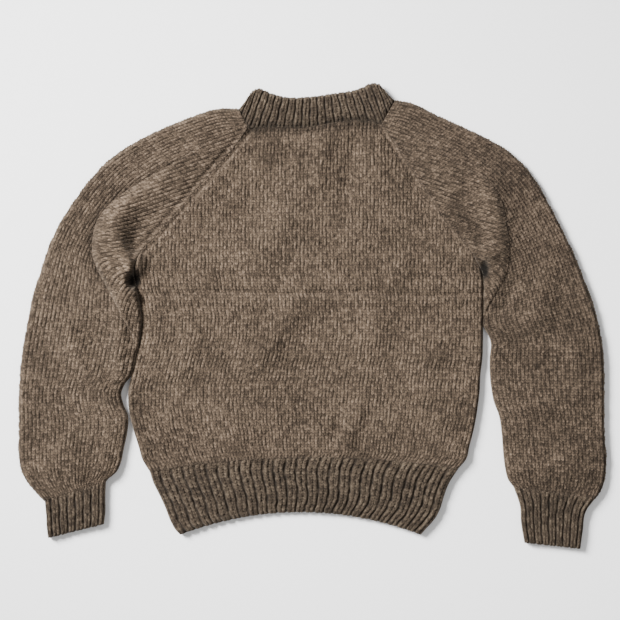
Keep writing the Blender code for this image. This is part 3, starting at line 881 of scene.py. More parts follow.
def pleat_section(along, nose, height, crest, side):
    """Place and height of a point this far along the cloth from the seam: a shallow valley, an
    S-shaped rise, a broad crest, and a steep cosine slope down to the arm's own cloth."""
    edge, wide, cloth = pleat_drop(nose, height, side)
    top = np.maximum(edge - crest, 1e-3)
    foot = np.maximum(top - PLEAT_RISE[side], 0)
    rise = np.clip((along - foot) / np.maximum(top - foot, 1e-3), 0, 1)
    rise = rise**2 * (3 - 2 * rise)
    valley = VALLEY[0] * bell(along - foot, VALLEY[1]) * np.clip(foot / VALLEY[2], 0, 1)
    fall = 1 - CREST_FALL[side] * np.clip((along - top) / np.maximum(edge - top, 1e-3), 0, 1)
    turn = np.clip((along - edge) / np.maximum(cloth, 1e-6), 0, 1)
    place = np.minimum(along, edge) + wide * turn
    return place, height * ((rise * fall - valley) * (0.5 + 0.5 * np.cos(math.pi * turn)))


def wales_along(table, knots, outward):
    """Samples along a sleeve: their places, the rows there, how far the seam has come across the
    wales by each of them, and how fast the wales are crossed on the way outwards."""
    places = np.linspace(0, knots[-1], 500)
    rows = curve(knots, table, places)
    slope = np.radians(rows[:, GRAIN])
    grain = np.column_stack((-outward * np.sin(slope), -np.cos(slope)))
    steps = np.diff(rows[:, 0:2], axis=0)
    crossed = (steps * (grain[1:] + grain[:-1]) / 2).sum(axis=1)
    way = rows[:, 2:4] - rows[:, 0:2]
    way /= np.linalg.norm(way, axis=1, keepdims=True)
    rate = np.minimum((way * grain).sum(axis=1), -LEAST_CROSSING)
    return places, rows, np.concatenate(([0], np.cumsum(crossed))), rate


print("a full pleat lies", FULL_PLEAT, "mm above its sleeve")

# %% Lattice of each sleeve


def knit_sleeve(name, seam_side, cap, arm, folds, outward):
    """Lattice of a sleeve: wales in front of the armpit, wales of the arm, plain underside."""
    radius = WALL + FOLD_HOLLOW
    side = int(outward > 0)
    table, knots = sleeve_rows(seam_side, cap, arm)
    length = knots[-1]
    free_from = knots[np.argmax(table[:, FREE] > 0.5)]
    v, course = lattice_rows(length)
    fine_at, samples, seam_grain, sample_rate = wales_along(table, knots, outward)
    cap_samples = fine_at < knots[len(cap)]
    nose, height = np.clip(samples[:, NOSE], 0, None), np.clip(samples[:, PLEAT], 0, None)
    edge, _, cloth = pleat_drop(nose, height, side)
    first = (seam_grain + sample_rate * (edge + cloth))[cap_samples].min() - 2 * WALE
    count = int((seam_grain[cap_samples].max() - first) / WALE) + 2
    cap_k = np.arange(ACROSS * count, -1, -1) / ACROSS
    arm_j = np.arange(ACROSS * ARM_WALES, -1, -1) / ACROSS
    group = np.concatenate((np.zeros(len(cap_k)), np.ones(len(arm_j)), np.full(len(LOW_SHARES) + 1, 2)))
    u = np.concatenate((cap_k, arm_j, LOW_SHARES, [1.0]))
    v, u = np.meshgrid(v, u, indexing="ij")
    group = np.repeat(group[None], len(v), axis=0)
    fine = group < 2
    ramp = end_ramp(v)
    at = np.clip((v - leg_climb(u) * ramp * fine) * course, 0, length)
    is_cap, is_low = group == 0, group == 2

    def section(at):
        """Rows at these heights, and the place that each wale wants between its two holds."""
        rows = curve(knots, table, at)
        nose, height = np.clip(rows[..., NOSE], 0, None), np.clip(rows[..., PLEAT], 0, None)
        width = np.linalg.norm(rows[..., 2:4] - rows[..., 0:2], axis=-1)
        edge, _, on_slope = pleat_drop(nose, height, side)
        rate = np.interp(at, fine_at, sample_rate)
        start = np.interp(at, fine_at, seam_grain)
        cap_wanted = (u * WALE + first - start) / rate
        at_armpit = curve(knots, table, np.maximum(at, free_from))
        arm_width = np.linalg.norm(at_armpit[..., 2:4] - at_armpit[..., 0:2], axis=-1)
        cloth = arm_width + 2 * ROUND * radius
        from_fold = u / ARM_WALES * cloth
        arm_wanted = np.where(from_fold < cloth / 2, width - unroll(from_fold, radius),
                              width - arm_width + unroll(cloth - from_fold, radius))
        lowest = np.where(is_cap, 0.0, nose)
        highest = np.where(is_cap, edge + on_slope, width)
        wanted = np.where(is_cap, cap_wanted, np.where(is_low, (1 - u) * width, arm_wanted))
        return rows, nose, height, width, lowest, highest, wanted

    *_, lowest, highest, wanted = section(at)
    below = (wanted <= lowest) & ~is_low
    above = (wanted >= highest) & is_cap
    held = below | above
    at = np.where(held, v * course, at)
    rows, nose, height, width, lowest, highest, wanted = section(at)
    inner_edge, outer_edge = rows[..., 0:2], rows[..., 2:4]
    free = np.clip(rows[..., FREE], 0, 1)
    along = np.where(below, lowest, np.where(above, highest, wanted))
    cap_place, cap_lift = pleat_section(along, nose, height, np.clip(rows[..., CREST], 0, None), side)
    trough = -TROUGH[0] * height * bell(along - nose, TROUGH[1])
    across = np.where(is_cap, cap_place, along)
    share = across / width
    plan = inner_edge + share[..., None] * (outer_edge - inner_edge)
    full = SLEEVE_FULLNESS[side] * (1 - np.exp(-across / EDGE_SPREAD)) * (1 - share ** PUFF_POWER[side])
    rolls = sum(ridge(plan, fold) for fold in ARMHOLE_FOLDS + folds) * (1 - share**6)
    to_cuff = length - at
    lift = np.where(is_cap, cap_lift, trough) + (full + rolls) * (1 - bell(to_cuff, CUFF_REACH))
    raised = np.where(is_cap, cap_lift, 0.0) + rolls
    one = np.ones(at.shape)
    ends = ridge(plan, NECK_FOLD) * (1 - share)
    ends = ends + rib_level(across, width, one) * bell(to_cuff, RIB_REACH)
    rim = (radius + SEAM / 2, radius)
    top = top_height(across, width, (free, one), rim, WALL, FOLD_HOLLOW, lift + ends)
    low_rim = radius - SEAM / 2
    turned = turns(across, width, (free, one), radius)
    bottom = low_rim * turned[0] + radius * turned[1]
    base = np.dstack((plan, np.where(is_low, bottom, sink(plan, top))))
    edge = np.where(is_cap, across, 99.0)
    raglan = (1 - free) * (edge < CHAIN_REACH)
    round_seam = np.where(is_low, 0.0, 1 - (1 - np.clip(across / EDGE_FADE, 0, 1)) * free)
    strength = fine * ~held * (1 - raglan) * round_seam
    on_lip = above | (below & (group == 1))
    relief = settled(stitch_height(u, v), ramp) * strength + seam_chain(edge, plan) * raglan
    relief = relief + LIP_FILL[side] * on_lip * round_seam
    direction = np.where(held[..., None], UP, normals(base) * (-outward))
    outer = base + direction * relief[..., None]

    picks = coarse_picks(v)
    part = (across[picks], width[picks], (free[picks], one[picks]))
    inner_share = inner_slide(*part, WALL, FOLD_HOLLOW) / width[picks]
    inner_top = under_height(*part, rim, WALL, FOLD_HOLLOW) + ends[picks]
    turned = turns(*part, radius)
    inner_low = WALL + (low_rim - WALL) * turned[0] + (radius - WALL) * turned[1]
    inner_plan = inner_edge[picks] + inner_share[..., None] * (outer_edge - inner_edge)[picks]
    inner = np.dstack((inner_plan, np.where(is_low[picks], inner_low, inner_top)))

    arm_u = (width - across) / WALE
    knit_u = np.where(is_low, UNDER_WALES + u * width / WALE, np.where(held & ~is_cap, arm_u, u))
    knit = np.dstack((knit_u, to_cuff / course, is_low * 1.0))
    # painted shade in the armpit hollow and in the nook under the pleat
    nook = (group == 1) * np.clip(height / FULL_PLEAT, 0, 1) * bell(along - nose, NOOK_REACH)
    shade = (armpit_shade(plan) + LIP_SHADE * nook) * fine
    # the dimming is painted shade by the cuff, and below zero on raised pleat cloth it is painted light
    dimmed = CUFF_DIMMING[0] * np.exp(-to_cuff / CUFF_DIMMING[1]) - CREST_PAINTED_LIGHT * np.clip(raised, 0, None)
    return cloth_piece(name, outer, inner, knit, shade, dimmed, painted_tone_shade=SLEEVE_PAINTED_SHADE[side])


right_sleeve = knit_sleeve("right_sleeve_knit", slice(0, 2), RIGHT_CAP, RIGHT_ARM, RIGHT_SLEEVE_FOLDS, -1)
left_sleeve = knit_sleeve("left_sleeve_knit", slice(2, 4), LEFT_CAP, LEFT_ARM, LEFT_SLEEVE_FOLDS, 1)

# %% [markdown]
# ## Ribbing
#
# In two-by-two rib, two knitted wales stand up as a rounded ridge and two purled ones sink
# between. The cloth springs together across, so the purled wales nearly close up into a furrow,
# which is modelled and also drawn dark with painted shade. The ridge is a rounded wave, and its
# two wales have the same V stitches as the front.
# Even ribs could be an array of one. Real ones wander and open unevenly, so sines move them.

# %% Rib heights
# The places of one rib's points across it, and the wale at each of them
RIB_POINTS = np.array((0.0, 0.05, 0.11, 0.2, 0.3, 0.4, 0.5, 0.6, 0.7, 0.8, 0.89, 0.95))
RIB_U = np.array((0.0, 0.0, 0.05, 0.25, 0.5, 0.75, 1.0, 1.25, 1.5, 1.75, 1.95, 2.0))
FURROW = 0.036              # half width of the furrow, in ribs
LADDER_SHADE = 1.1          # painted shade in the gap between a ridge's two wales
RING_DIMMING = 0.86           # painted shade on the rib of the cuffs and the neckband, the welt's being 1


def rib_wave(phase):
    """From 0 in the furrow to 1 on the ridge: 1 less a bell curve of the distance to the furrow."""
    nearest = np.abs((phase + 0.5) % 1 - 0.5)
    return 1 - bell(nearest, FURROW)


def rib_lattice(ribs):
    """Phase and wale of each column of points across a number of ribs."""
    phase = np.concatenate([rib + RIB_POINTS for rib in range(ribs)] + [[float(ribs)]])
    wale = np.concatenate([4 * rib + RIB_U for rib in range(ribs)] + [[4.0 * ribs]])
    return phase, wale


def rib_relief(phase, wale, v, depth):
    """Ridges above the furrows, with V stitches on the two knitted wales of each ridge."""
    on_top = rib_wave(phase)
    inside = phase % 1
    crown = 0.7 * np.sin(math.pi * inside)
    stitches = stitch_height(wale, v) - 1.0 - 1.7 * rib_ladder(phase, v)
    return depth * furrow_strength(phase, v) * (on_top - 1) + on_top * (crown + stitches)


def rib_ladder(phase, v):
    """The small dark gap between a ridge's two wales, once a course: a cosine times a bell curve."""
    across = bell(phase % 1 - 0.5, 0.12)
    return across * (0.5 + 0.5 * np.cos(2 * math.pi * (v + 0.5))) * (0.6 + 0.4 * uneven(phase, v, 7))


def furrow_strength(phase, v):
    """How far each furrow is open along its length: long uneven stretches, from 0.35 to 1.3."""
    rib = np.round(phase)
    waves = np.sin(0.62 * v + 5.1 * np.sin(2.3 * rib)) + np.sin(1.47 * v + 4.3 * np.sin(3.7 * rib + 1))
    return 0.85 + 0.25 * waves


def furrow_fade(distance, reach):
    """How far the furrows have opened at a distance from a seam, from 0.15 at the seam to 1."""
    return np.clip(distance / reach, 0.15, 1)


def wander(phase, v, across, width):
    """Sideways drift of the ribs in millimetres: two sines of the course, shifted from rib to
    rib, that die out at the side folds."""
    waves = 0.45 * np.sin(0.75 * v + 2.1 * phase) + 0.25 * np.sin(1.9 * v + 4.0 * phase + 1)
    return waves * np.clip(np.minimum(across, width - across) / 20 - 0.3, 0, 1)


def rib_shade(phase, v, fade):
    """Painted shade on the rib: in the furrows, and in the gaps between a ridge's two wales."""
    in_furrow = (1 - rib_wave(phase)) * fade * furrow_strength(phase, v)
    return in_furrow + LADDER_SHADE * rib_ladder(phase, v)


print("points across a rib:", len(RIB_POINTS))

# %% [markdown]
# ## Welts
#
# The welt is the ribbed band at the body's lower end, one for the front and one for the back. It
# pulls the body in, so its rows grow shorter and arch downwards. The two differ only in which
# side shows, so one function makes both.

# %% Welts
HEM_RIBS = 27
HEM_DEPTH = 2.6             # depth of the furrows
WELT_EDGE = (1.8, 5.0)      # drop of the soft lower edge, and its reach
WELT_SIDE = 4               # over what distance the relief rises from the side folds
WELT_FADE = 12              # over what distance the furrows open below the seam
WELT_DIM_FADE = (0.55, 14)     # how much less painted shade the welt has at its seam, and its reach


def knit_welt(name, ribs, depth, upper):
    """Ribbed welt of the front, or the plain underside of the back's, with a soft lower edge."""
    table = np.array(HEM, float)
    left, right = table[:, 0:2], table[:, 2:4]
    knots = middle_knots(left, right, table[:, 4])
    radius = RIB_WALL + CUFF_HOLLOW
    v, course = lattice_rows(knots[-1])
    phase, wale = rib_lattice(ribs)
    v_grid, phase = np.meshgrid(v, phase, indexing="ij")
    wale = np.repeat(wale[None], len(v), axis=0)
    at = np.clip((v_grid + leg_climb(wale) * end_ramp(v_grid) * upper) * course, 0, knots[-1])
    rows = curve(knots, table, at)
    left, right, arch = rows[..., 0:2], rows[..., 2:4], rows[..., 4]
    width = np.linalg.norm(right - left, axis=-1)
    cloth = width + 2 * ROUND * radius
    across = unrolled(phase / ribs * cloth, cloth, width, radius)
    across = across + wander(phase, v_grid, across, width)

    def plan_of(place, row_start, row_end, bow, wide, height):
        share = place / wide
        plan = row_start + share[..., None] * (row_end - row_start)
        plan[..., 1] += bow * 4 * share * (1 - share)
        plan[..., 1] -= SEAM / 2 * np.clip(1 - (knots[-1] - height) / COURSE_SHIFT, 0, 1)
        return plan

    plan = plan_of(across, left, right, arch, width, at)
    one = np.ones(at.shape)
    picks = coarse_picks(v_grid)
    part = (across[picks], width[picks], (one[picks], one[picks]))
    slid = inner_slide(*part, RIB_WALL, CUFF_HOLLOW)
    inner_plan = plan_of(slid, left[picks], right[picks], arch[picks], width[picks], at[picks])
    if upper:
        rim = (radius + SEAM / 2,) * 2
        soft = WELT_EDGE[0] * edge_turn(at, WELT_EDGE[1])
        z = top_height(across, width, (one, one), rim, RIB_WALL, CUFF_HOLLOW, -soft)
        base = np.dstack((plan, z))
        edge = np.minimum(across, width - across)
        fade = furrow_fade(knots[-1] - at, WELT_FADE)
        relief = rib_relief(phase, wale, v_grid, depth * fade)
        relief = settled(relief, v.max() - v_grid) * np.clip(edge / WELT_SIDE, 0, 1)
        outer = base + normals(base) * relief[..., None]
        inner_z = under_height(*part, rim, RIB_WALL, CUFF_HOLLOW)
        shade = rib_shade(phase, v_grid, fade)
    else:
        rim = radius - SEAM / 2
        outer = np.dstack((plan, rim * sum(turns(across, width, (one, one), radius))))
        inner_z = RIB_WALL + (rim - RIB_WALL) * sum(turns(*part, radius))
        # the hidden side's furrows get painted shade too
        shade = 1 - rib_wave(phase)
    knit = np.dstack((wale, at / course, 0 * at + (not upper)))
    # the colour is dimmed with painted shade, less of it at the seam
    dimmed = 1 - WELT_DIM_FADE[0] * np.exp(-(knots[-1] - at) / WELT_DIM_FADE[1])
    return cloth_piece(name, outer, np.dstack((inner_plan, inner_z)), knit, shade, dimmed)


hem_front = knit_welt("welt_front_knit", HEM_RIBS, HEM_DEPTH, True)
hem_back = knit_welt("welt_back_knit", HEM_RIBS, HEM_DEPTH, False)

# %% [markdown]
# ## Cuffs and neckband
#
# These are ribbed tubes pressed flat: a cuff at each wrist, and a neckband that is folded double
# and sewn down inside. Each could be a cylinder that is squashed by hand. As a lattice that is
# rolled over two round edges, its ribs keep their width right round the fold.

# %% A ribbed tube pressed flat
RING_UNDER_WALES = 400      # the underside's wales are numbered from here, so their flecks differ
BAND_SHADE = (0.7, 7)       # painted shade at the neckband's seam: its strength and reach


def knit_ring(name, plan_of, widths, knots, ribs, depth, wall, hollow, soft_of, fade_of, toward_neck):
    """Ribbed tube pressed flat: plan_of gives the place of a share of a row, widths each row's
    length, soft_of how far the height drops, and fade_of how far the furrows are open."""
    radius = wall + hollow
    v, course = lattice_rows(knots[-1])
    phase, wale = rib_lattice(ribs)
    low = np.linspace(0, ribs, 4 * ribs + 1)[1:-1][::-1]
    side = np.concatenate((np.zeros(len(phase)), np.ones(len(low))))
    phase, wale = np.concatenate((phase, low)), np.concatenate((wale, RING_UNDER_WALES + 4 * low))
    v_grid, phase = np.meshgrid(v, phase, indexing="ij")
    wale, side = np.repeat(wale[None], len(v), axis=0), np.repeat(side[None], len(v), axis=0)
    climb = leg_climb(wale) * end_ramp(v_grid) * (side == 0) * (1 if toward_neck else -1)
    at = np.clip((v_grid + climb) * course, 0, knots[-1])
    width = np.interp(at, knots, widths)
    cloth = width + 2 * ROUND * radius
    across = unrolled(phase / ribs * cloth, cloth, width, radius)
    across = across + wander(phase, v_grid, across, width) * (side == 0)
    plan = plan_of(at, across / width)
    one = np.ones(at.shape)
    both = (one, one)
    top = top_height(across, width, both, (radius, radius), wall, hollow, -soft_of(at))
    bottom = radius * sum(turns(across, width, both, radius))
    base = np.dstack((plan, np.where(side == 0, top, bottom)))
    edge = np.minimum(across, width - across)
    fade = fade_of(at)
    # painted shade in the furrows and gaps, and along the neckband's seam
    shade = rib_shade(phase, v_grid, fade) + BAND_SHADE[0] * toward_neck * bell(at, BAND_SHADE[1])
    relief = settled(rib_relief(phase, wale, v_grid, depth * fade), v_grid)
    relief = relief * np.clip(edge / EDGE_FADE, 0, 1) * (side == 0)
    outer = base + normals(base) * relief[..., None] * (1 if toward_neck else -1)
    picks = coarse_picks(v_grid, True)
    part = (across[picks], width[picks], (one[picks], one[picks]))
    slid = inner_slide(*part, wall, hollow)
    inner_plan = plan_of(at[picks], slid / width[picks])
    inner_top = under_height(*part, (radius, radius), wall, hollow)
    inner_low = wall + (radius - wall) * sum(turns(*part, radius))
    inner = np.dstack((inner_plan, np.where(side[picks] == 0, inner_top, inner_low)))
    knit = np.dstack((wale, at / course, side))
    # the colour is dimmed with painted shade, less of it by a cuff's seam
    dimmed = RING_DIMMING - CUFF_DIMMING[0] * np.exp(-at / CUFF_DIMMING[1]) * (not toward_neck)
    return cloth_piece(name, outer, inner, knit, shade, dimmed, ring=True)


print("the ribs of cuffs and neckband are", RING_DIMMING, "times as dense as the welt's")

# %% Cuffs
CUFF_DEPTH = 2.2            # depth of the furrows
CUFF_EDGE = (1.6, 4.5)      # drop of the soft lower edge, and its reach
CUFF_FADE = 10              # over what distance the furrows open below the seam


def knit_cuff(name, table, ribs, depth):
    """Cuff from the sleeve's last row down to its own soft edge."""
    table = np.array(table, float)
    left, right = table[:, 0:2].copy(), table[:, 2:4].copy()
    for edge in (left, right):
        edge[0] = pull(edge[0], edge[1], SEAM / 2)
    knots = middle_knots(left, right)

    def plan_of(at, share):
        low, high = curve(knots, left, at), curve(knots, right, at)
        return low + share[..., None] * (high - low)

    def soft_of(at):
        return CUFF_EDGE[0] * edge_turn(knots[-1] - at, CUFF_EDGE[1])

    def fade_of(at):
        return furrow_fade(at, CUFF_FADE)

    widths = np.linalg.norm(right - left, axis=1)
    return knit_ring(name, plan_of, widths, knots, ribs, depth,
                     RIB_WALL, CUFF_HOLLOW, soft_of, fade_of, False)


right_cuff = knit_cuff("right_cuff_knit", RIGHT_CUFF, 8, CUFF_DEPTH)
left_cuff = knit_cuff("left_cuff_knit", LEFT_CUFF, 9, CUFF_DEPTH)

# %% Neckband
BAND_LENGTH = 44.0          # height of the neckband
BAND_EDGE = (3.4, 6.0)      # drop of its rounded rim, and its reach
BAND_TUCK = (2.2, 4.5)      # drop at its seam, where it is tucked into the neck, and its reach
NECK_CENTRE = np.array((5.0, 330.0))


def band_along(line, share):
    """Point at a share of a broken line's length."""
    steps = np.linalg.norm(np.diff(line, axis=0), axis=1)
    reach = np.concatenate(([0], np.cumsum(steps))) / steps.sum()
    return np.stack([np.interp(share, reach, line[:, axis]) for axis in (0, 1)], axis=-1)


def knit_collar(ribs, depth):
    """Neckband folded double: from the neck seam, where it is tucked in, to its rounded rim."""
    lower = np.concatenate(([BAND_CORNERS[0]], neck_line(np.linspace(0, 1, 61)), [BAND_CORNERS[1]]))
    rim_line = np.array(BAND_TOP, float)
    marks = np.arange(len(rim_line), dtype=float)
    upper = curve(marks, rim_line, np.linspace(0, len(rim_line) - 1, 81))

    def plan_of(at, share):
        low = pull(band_along(lower, share), NECK_CENTRE, SEAM)
        return low + (at / BAND_LENGTH)[..., None] * (band_along(upper, share) - low)

    def soft_of(at):
        rim = BAND_EDGE[0] * edge_turn(BAND_LENGTH - at, BAND_EDGE[1])
        return rim + BAND_TUCK[0] * bell(at, BAND_TUCK[1])

    def fade_of(at):
        return np.ones(at.shape)

    spread = np.repeat(np.linspace(0, 1, 101)[None], 2, axis=0)
    ends = plan_of(np.array([[0.0], [BAND_LENGTH]]) * np.ones((2, 101)), spread)
    widths = np.linalg.norm(np.diff(ends, axis=1), axis=2).sum(axis=1)
    return knit_ring("neckband_knit", plan_of, widths, np.array((0.0, BAND_LENGTH)), ribs, depth,
                     BAND_WALL, BAND_HOLLOW, soft_of, fade_of, True)


collar = knit_collar(22, 2.0)

# %% [markdown]
# ## Alpaca yarn
#
# The yarn is spun from undyed brown, fawn and grey fibres, so it is heathered: short darker and
# lighter flecks run along the strands. Alpaca has a fine halo, which softens the grooves and
# gives the cloth a pale sheen where it is seen from the side. It has almost no gloss. Hairs could
# give the halo, but they are lost at this size, so noise, bump and sheen stand for them.

# %% Helpers for materials


def linear(colour):
    """An sRGB hex colour as linear red, green, blue and alpha."""
    channels = [int(colour[i:i + 2], 16) / 255 for i in (1, 3, 5)]
    return (*[c / 12.92 if c <= 0.04045 else ((c + 0.055) / 1.055) ** 2.4 for c in channels], 1.0)


def add(tree, kind, settings, inputs):
    """Adds a node and sets its properties. An input that is a socket is linked, any other is set."""
    node = tree.nodes.new("ShaderNode" + kind)
    for name, value in settings.items():
        setattr(node, name, value)
    for key, value in inputs.items():
        if isinstance(value, bpy.types.NodeSocket):
            tree.links.new(value, node.inputs[key])
        else:
            node.inputs[key].default_value = value
    return node


def follow(tree, values, recipe):
    """Adds a recipe's nodes in turn. A row holds the name of the value it makes, the node's kind,
    its settings and its inputs, and a word among the inputs stands for an earlier value."""
    for name, kind, settings, inputs in recipe:
        places = inputs if isinstance(inputs, dict) else dict(enumerate(inputs))
        places = {key: values[term] if isinstance(term, str) else term for key, term in places.items()}
        values[name] = add(tree, kind, settings, places).outputs[0]


print("the yarn's light fibres are", [round(c, 3) for c in linear("#796858")[:3]], "in linear colour")

# %% Heathered alpaca
GROOVE_PAINTED_SHADE = 0.72         # painted shade: how much darker the grooves between the strands are drawn
RIB_PAINTED_SHADE = -0.34            # painted shade: how much darker the rib's colour is drawn, for the light its furrows lose
HOLLOW_PAINTED_SHADE = -0.55         # painted shade: how much darker a furrow or a hollow is drawn, for each unit of its shade
FLECKS = (3.6, 0.95)        # flecks to a wale and to a course: each is 1.5 mm by 4.4 mm
# A fibre is 0.03 mm thick, too fine to show, so it is drawn coarser: as clumps of 1.6 mm and less
FIBRE_CLUMPS = 620.0        # clumps to a metre
BATCHES = 18.0              # slow patches of a lighter or darker shade to a metre, 55 mm each


def alpaca(name, light, middle, dark, furrow):
    """Undyed alpaca, spun soft and hand knitted: matt, flecked along the strand, with a halo. Its
    colour is drawn darker with painted shade in grooves, furrows, hollows and on the rib, and
    lighter with painted light on raised cloth; furrow sets the grooves' painted shade.
    """
    material = bpy.data.materials.new(name)
    material.use_nodes = True
    tree = material.node_tree
    shader = tree.nodes["Principled BSDF"]
    values = {"place": add(tree, "TexCoord", {}, {}).outputs["Object"]}
    for attribute, parts in (("knit", ("wale", "course", "plain")), ("yarn", ("tone", "painted_shade", "dimmed"))):
        vector = add(tree, "Attribute", {"attribute_name": attribute}, {}).outputs["Vector"]
        values.update(zip(parts, add(tree, "SeparateXYZ", {}, {"Vector": vector}).outputs))

    # Fleck: noise drawn out along each leg of a stitch, finer fibres in it, and slow patches
    follow(tree, values, (
        ("inside", "Math", {"operation": "FRACT"}, ("wale",)),
        ("folded", "Math", {"operation": "MULTIPLY_ADD"}, ("inside", 2.0, -1.0)),
        ("slant", "Math", {"operation": "ABSOLUTE"}, ("folded",)),
        ("climbed", "Math", {"operation": "MULTIPLY_ADD"}, ("slant", -LEG_RISE, "course")),
        ("strand x", "Math", {"operation": "MULTIPLY"}, ("wale", FLECKS[0])),
        ("strand y", "Math", {"operation": "MULTIPLY"}, ("climbed", FLECKS[1])),
        ("strand z", "Math", {"operation": "MULTIPLY"}, ("plain", 7.0)),
        ("strand", "CombineXYZ", {}, ("strand x", "strand y", "strand z")),
        ("fleck", "TexNoise", {}, {"Scale": 1.0, "Detail": 3.0, "Roughness": 0.7, "Vector": "strand"}),
        ("fibres", "TexNoise", {},
         {"Scale": FIBRE_CLUMPS, "Detail": 4.0, "Roughness": 0.8, "Vector": "place"}),
        ("batch", "TexNoise", {}, {"Scale": BATCHES, "Detail": 3.0, "Roughness": 0.55, "Vector": "place"}),
        ("most", "Math", {"operation": "MULTIPLY"}, ("fleck", 0.4)),
        ("rest", "Math", {"operation": "MULTIPLY"}, ("fibres", 0.6)),
        ("strands", "Math", {"operation": "ADD"}, ("most", "rest")),
        ("patch", "Math", {"operation": "MULTIPLY_ADD"}, ("batch", 0.16, -0.08)),
        ("patched", "Math", {"operation": "ADD"}, ("strands", "patch")),
        ("mixed", "Math", {"operation": "MULTIPLY_ADD"}, ("tone", 0.06, "patched")),
    ))
    ramp = add(tree, "ValToRGB", {}, {"Fac": values["mixed"]})
    ramp.color_ramp.elements[0].position = 0.38
    ramp.color_ramp.elements[0].color = linear(dark)
    ramp.color_ramp.elements[1].position = 0.62
    ramp.color_ramp.elements[1].color = linear(light)
    ramp.color_ramp.elements.new(0.5).color = linear(middle)

    # The V of each stitch: two humps with a shallow groove between, fullest once a course
    follow(tree, values, (
        ("half turn", "Math", {"operation": "MULTIPLY"}, ("inside", math.pi)),
        ("arch", "Math", {"operation": "SINE"}, ("half turn",)),
        ("hump", "Math", {"operation": "POWER"}, ("arch", 0.7)),
        ("from middle", "Math", {"operation": "SUBTRACT"}, (1.0, "slant")),
        ("narrow", "Math", {"operation": "POWER"}, ("from middle", 6.0)),
        ("middle groove", "Math", {"operation": "MULTIPLY"}, ("narrow", -0.45)),
        ("left over", "Math", {"operation": "ADD"}, ("middle groove", 1.0)),
        ("leg", "Math", {"operation": "MULTIPLY"}, ("hump", "left over")),
        ("turn", "Math", {"operation": "MULTIPLY"}, ("climbed", 2 * math.pi)),
        ("wave", "Math", {"operation": "COSINE"}, ("turn",)),
        ("swell", "Math", {"operation": "MULTIPLY_ADD"}, ("wave", 0.3, 0.7)),
        ("stitch", "Math", {"operation": "MULTIPLY"}, ("leg", "swell")),
    ))

    # Painted shade: the colour is drawn darker between the strands, in furrows and hollows and on
    # the rib, and lighter on raised cloth, which is painted light
    follow(tree, values, (
        ("depth", "Math", {"operation": "MULTIPLY_ADD"}, ("tone", -0.22 * furrow, furrow)),
        ("off strand", "Math", {"operation": "SUBTRACT"}, (1.0, "stitch")),
        ("gap", "Math", {"operation": "MULTIPLY"}, ("off strand", "depth")),
        ("groove", "Math", {"operation": "SUBTRACT"}, (1.0, "gap")),
        ("in hollow", "Math", {"operation": "MULTIPLY_ADD"}, ("painted_shade", HOLLOW_PAINTED_SHADE, 1.0)),
        ("hollowed", "Math", {"operation": "MULTIPLY"}, ("groove", "in hollow")),
        ("in rib", "Math", {"operation": "MULTIPLY_ADD"}, ("dimmed", RIB_PAINTED_SHADE, 1.0)),
        ("grey", "Math", {"operation": "MULTIPLY"}, ("hollowed", "in rib")),
        ("shade", "CombineColor", {}, ("grey", "grey", "grey")),
    ))
    shaded = add(tree, "Mix", {"data_type": "RGBA", "blend_type": "MULTIPLY"},
                 {"Factor": 1.0, 6: ramp.outputs["Color"], 7: values["shade"]})
    tree.links.new(shaded.outputs[2], shader.inputs["Base Color"])

    # Bump: modelled stitches need only fibres, plain sides the whole stitch
    follow(tree, values, (
        ("share", "Math", {"operation": "MULTIPLY_ADD"}, ("plain", 0.75, 0.25)),
        ("relief", "Math", {"operation": "MULTIPLY"}, ("stitch", "share")),
        ("fuzz", "Math", {"operation": "MULTIPLY_ADD"}, ("fibres", 0.5, "relief")),
        ("normal", "Bump", {}, {"Strength": 0.7, "Distance": 0.0012, "Height": "fuzz"}),
    ))
    tree.links.new(values["normal"], shader.inputs["Normal"])
    shader.inputs["Roughness"].default_value = 0.93
    shader.inputs["Specular IOR Level"].default_value = 0.12
    shader.inputs["Sheen Weight"].default_value = 0.22
    shader.inputs["Sheen Roughness"].default_value = 0.55
    shader.inputs["Sheen Tint"].default_value = linear("#d8c8b6")
    return material


# Undyed alpaca in stocking stitch: fleece of brown, fawn and grey animals, carded together, spun
# into a thick soft yarn and knitted by hand. The eye sees a matt, warm taupe with short flecks
# along every leg of a stitch, dark grooves between them, partly modelled and partly painted
# shade, and a pale halo.
stocking_yarn = alpaca("heathered alpaca, stocking stitch", "#796858", "#4e4236", "#251c14", GROOVE_PAINTED_SHADE)

# The same alpaca in two-by-two rib, knitted on thinner needles and more tightly, so its ridges
# catch the light. Its furrows, modelled, are also drawn nearly black, and its whole colour is
# drawn darker: painted shade.
rib_yarn = alpaca("heathered alpaca, two by two rib", "#776958", "#4e4236", "#241c14", GROOVE_PAINTED_SHADE)
print("materials:", stocking_yarn.name, "and", rib_yarn.name)

# %% [markdown]
# ## Yarn on each piece
#
# Each knitted piece stands for one of the solids, moves with the garment's one body and takes its
# yarn. One loop over a table does this, so no piece is forgotten.

# %% Dress the pieces
PIECES = (
    # piece, node, slot, material
    (front, "front", "stocking_stitch", stocking_yarn),
    (back, "back", "stocking_stitch", stocking_yarn),
    (right_sleeve, "right_sleeve", "stocking_stitch", stocking_yarn),
    (left_sleeve, "left_sleeve", "stocking_stitch", stocking_yarn),
    (hem_front, "hem_front", "rib", rib_yarn),
    (hem_back, "hem_back", "rib", rib_yarn),
    (right_cuff, "right_cuff", "rib", rib_yarn),
    (left_cuff, "left_cuff", "rib", rib_yarn),
    (collar, "collar", "rib", rib_yarn),
)
for piece, node, slot, yarn in PIECES:
    piece.data.materials.append(yarn)
    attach(piece, "root")
    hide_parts(node)
print("triangles:", sum(len(p.data.loops) - 2 * len(p.data.polygons) for p, *_ in PIECES))
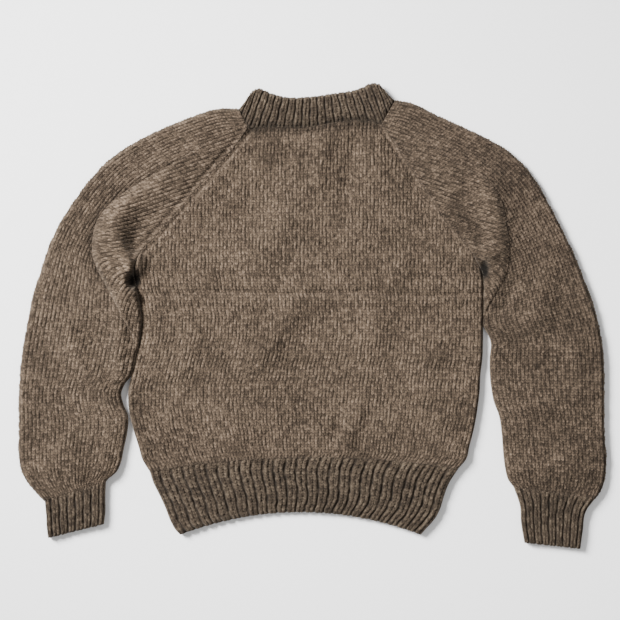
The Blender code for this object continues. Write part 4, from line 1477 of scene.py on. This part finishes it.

# %% [markdown]
# ## Knitted to shape
#
# Knitting isn't cut from a roll: each piece is knitted to its shape.

# %% [markdown]
# ## Surface, light and camera
#
# The sweater lies on a pale matt surface. A large soft light stands to its left and a little
# towards the neck, and a weaker one fills in from the other side, so that each stitch and fold
# has a soft shade. A picture of a real studio could light it, but two plain lamps are easier to
# steer. The camera looks straight down from three metres.

# %% Pale surface
bpy.ops.mesh.primitive_plane_add(size=8.0, location=(0, 0, -0.0005))
floor = bpy.context.object
floor.name = "pale_surface"
# Matt white board: wood pulp pressed and dried in sheets, and left uncoated. It looks even and
# pale, has no gloss and takes a soft shadow.
paper = bpy.data.materials.new("matt white board")
paper.use_nodes = True
paper_shader = paper.node_tree.nodes["Principled BSDF"]
paper_shader.inputs["Base Color"].default_value = linear("#fafafa")
paper_shader.inputs["Roughness"].default_value = 0.9
floor.data.materials.append(paper)
print("surface:", floor.name)

# %% Soft studio light


def soft_light(name, place, size, power, spread):
    """Square softbox that looks at the middle of the sweater; spread is its beam's full angle."""
    lamp = bpy.data.lights.new(name, "AREA")
    lamp.size = size
    lamp.energy = power
    lamp.spread = math.radians(spread)
    thing = bpy.data.objects.new(name, lamp)
    thing.location = place
    away = np.array(place, float)
    thing.rotation_euler = (math.acos(away[2] / np.linalg.norm(away)), 0.0,
                            math.atan2(away[1], away[0]) + math.pi / 2)
    bpy.context.scene.collection.objects.link(thing)


soft_light("key light", (-2.5, 1.55, 2.26), 1.5, 78.0, 56.0)
soft_light("fill light", (1.6, -1.4, 2.6), 2.0, 17.0, 170.0)
world = bpy.data.worlds.new("pale room")
world.use_nodes = True
world.node_tree.nodes["Background"].inputs["Color"].default_value = (1.0, 1.0, 1.0, 1.0)
world.node_tree.nodes["Background"].inputs["Strength"].default_value = 0.44
bpy.context.scene.world = world
print("lights:", ", ".join(lamp.name for lamp in bpy.data.lights))

# %% Camera straight above
CAMERA_HEIGHT = 3.0
VIEW_WIDTH = 0.930          # metres of the surface that the frame holds
camera_data = bpy.data.cameras.new("camera")
camera_data.sensor_width = 36.0
camera_data.lens = camera_data.sensor_width * CAMERA_HEIGHT / VIEW_WIDTH
camera = bpy.data.objects.new("camera", camera_data)
camera.location = (-0.00375, 0.009, CAMERA_HEIGHT + 0.008)
bpy.context.scene.collection.objects.link(camera)
bpy.context.scene.camera = camera
print("the frame is", VIEW_WIDTH, "m wide, seen from", CAMERA_HEIGHT, "m")
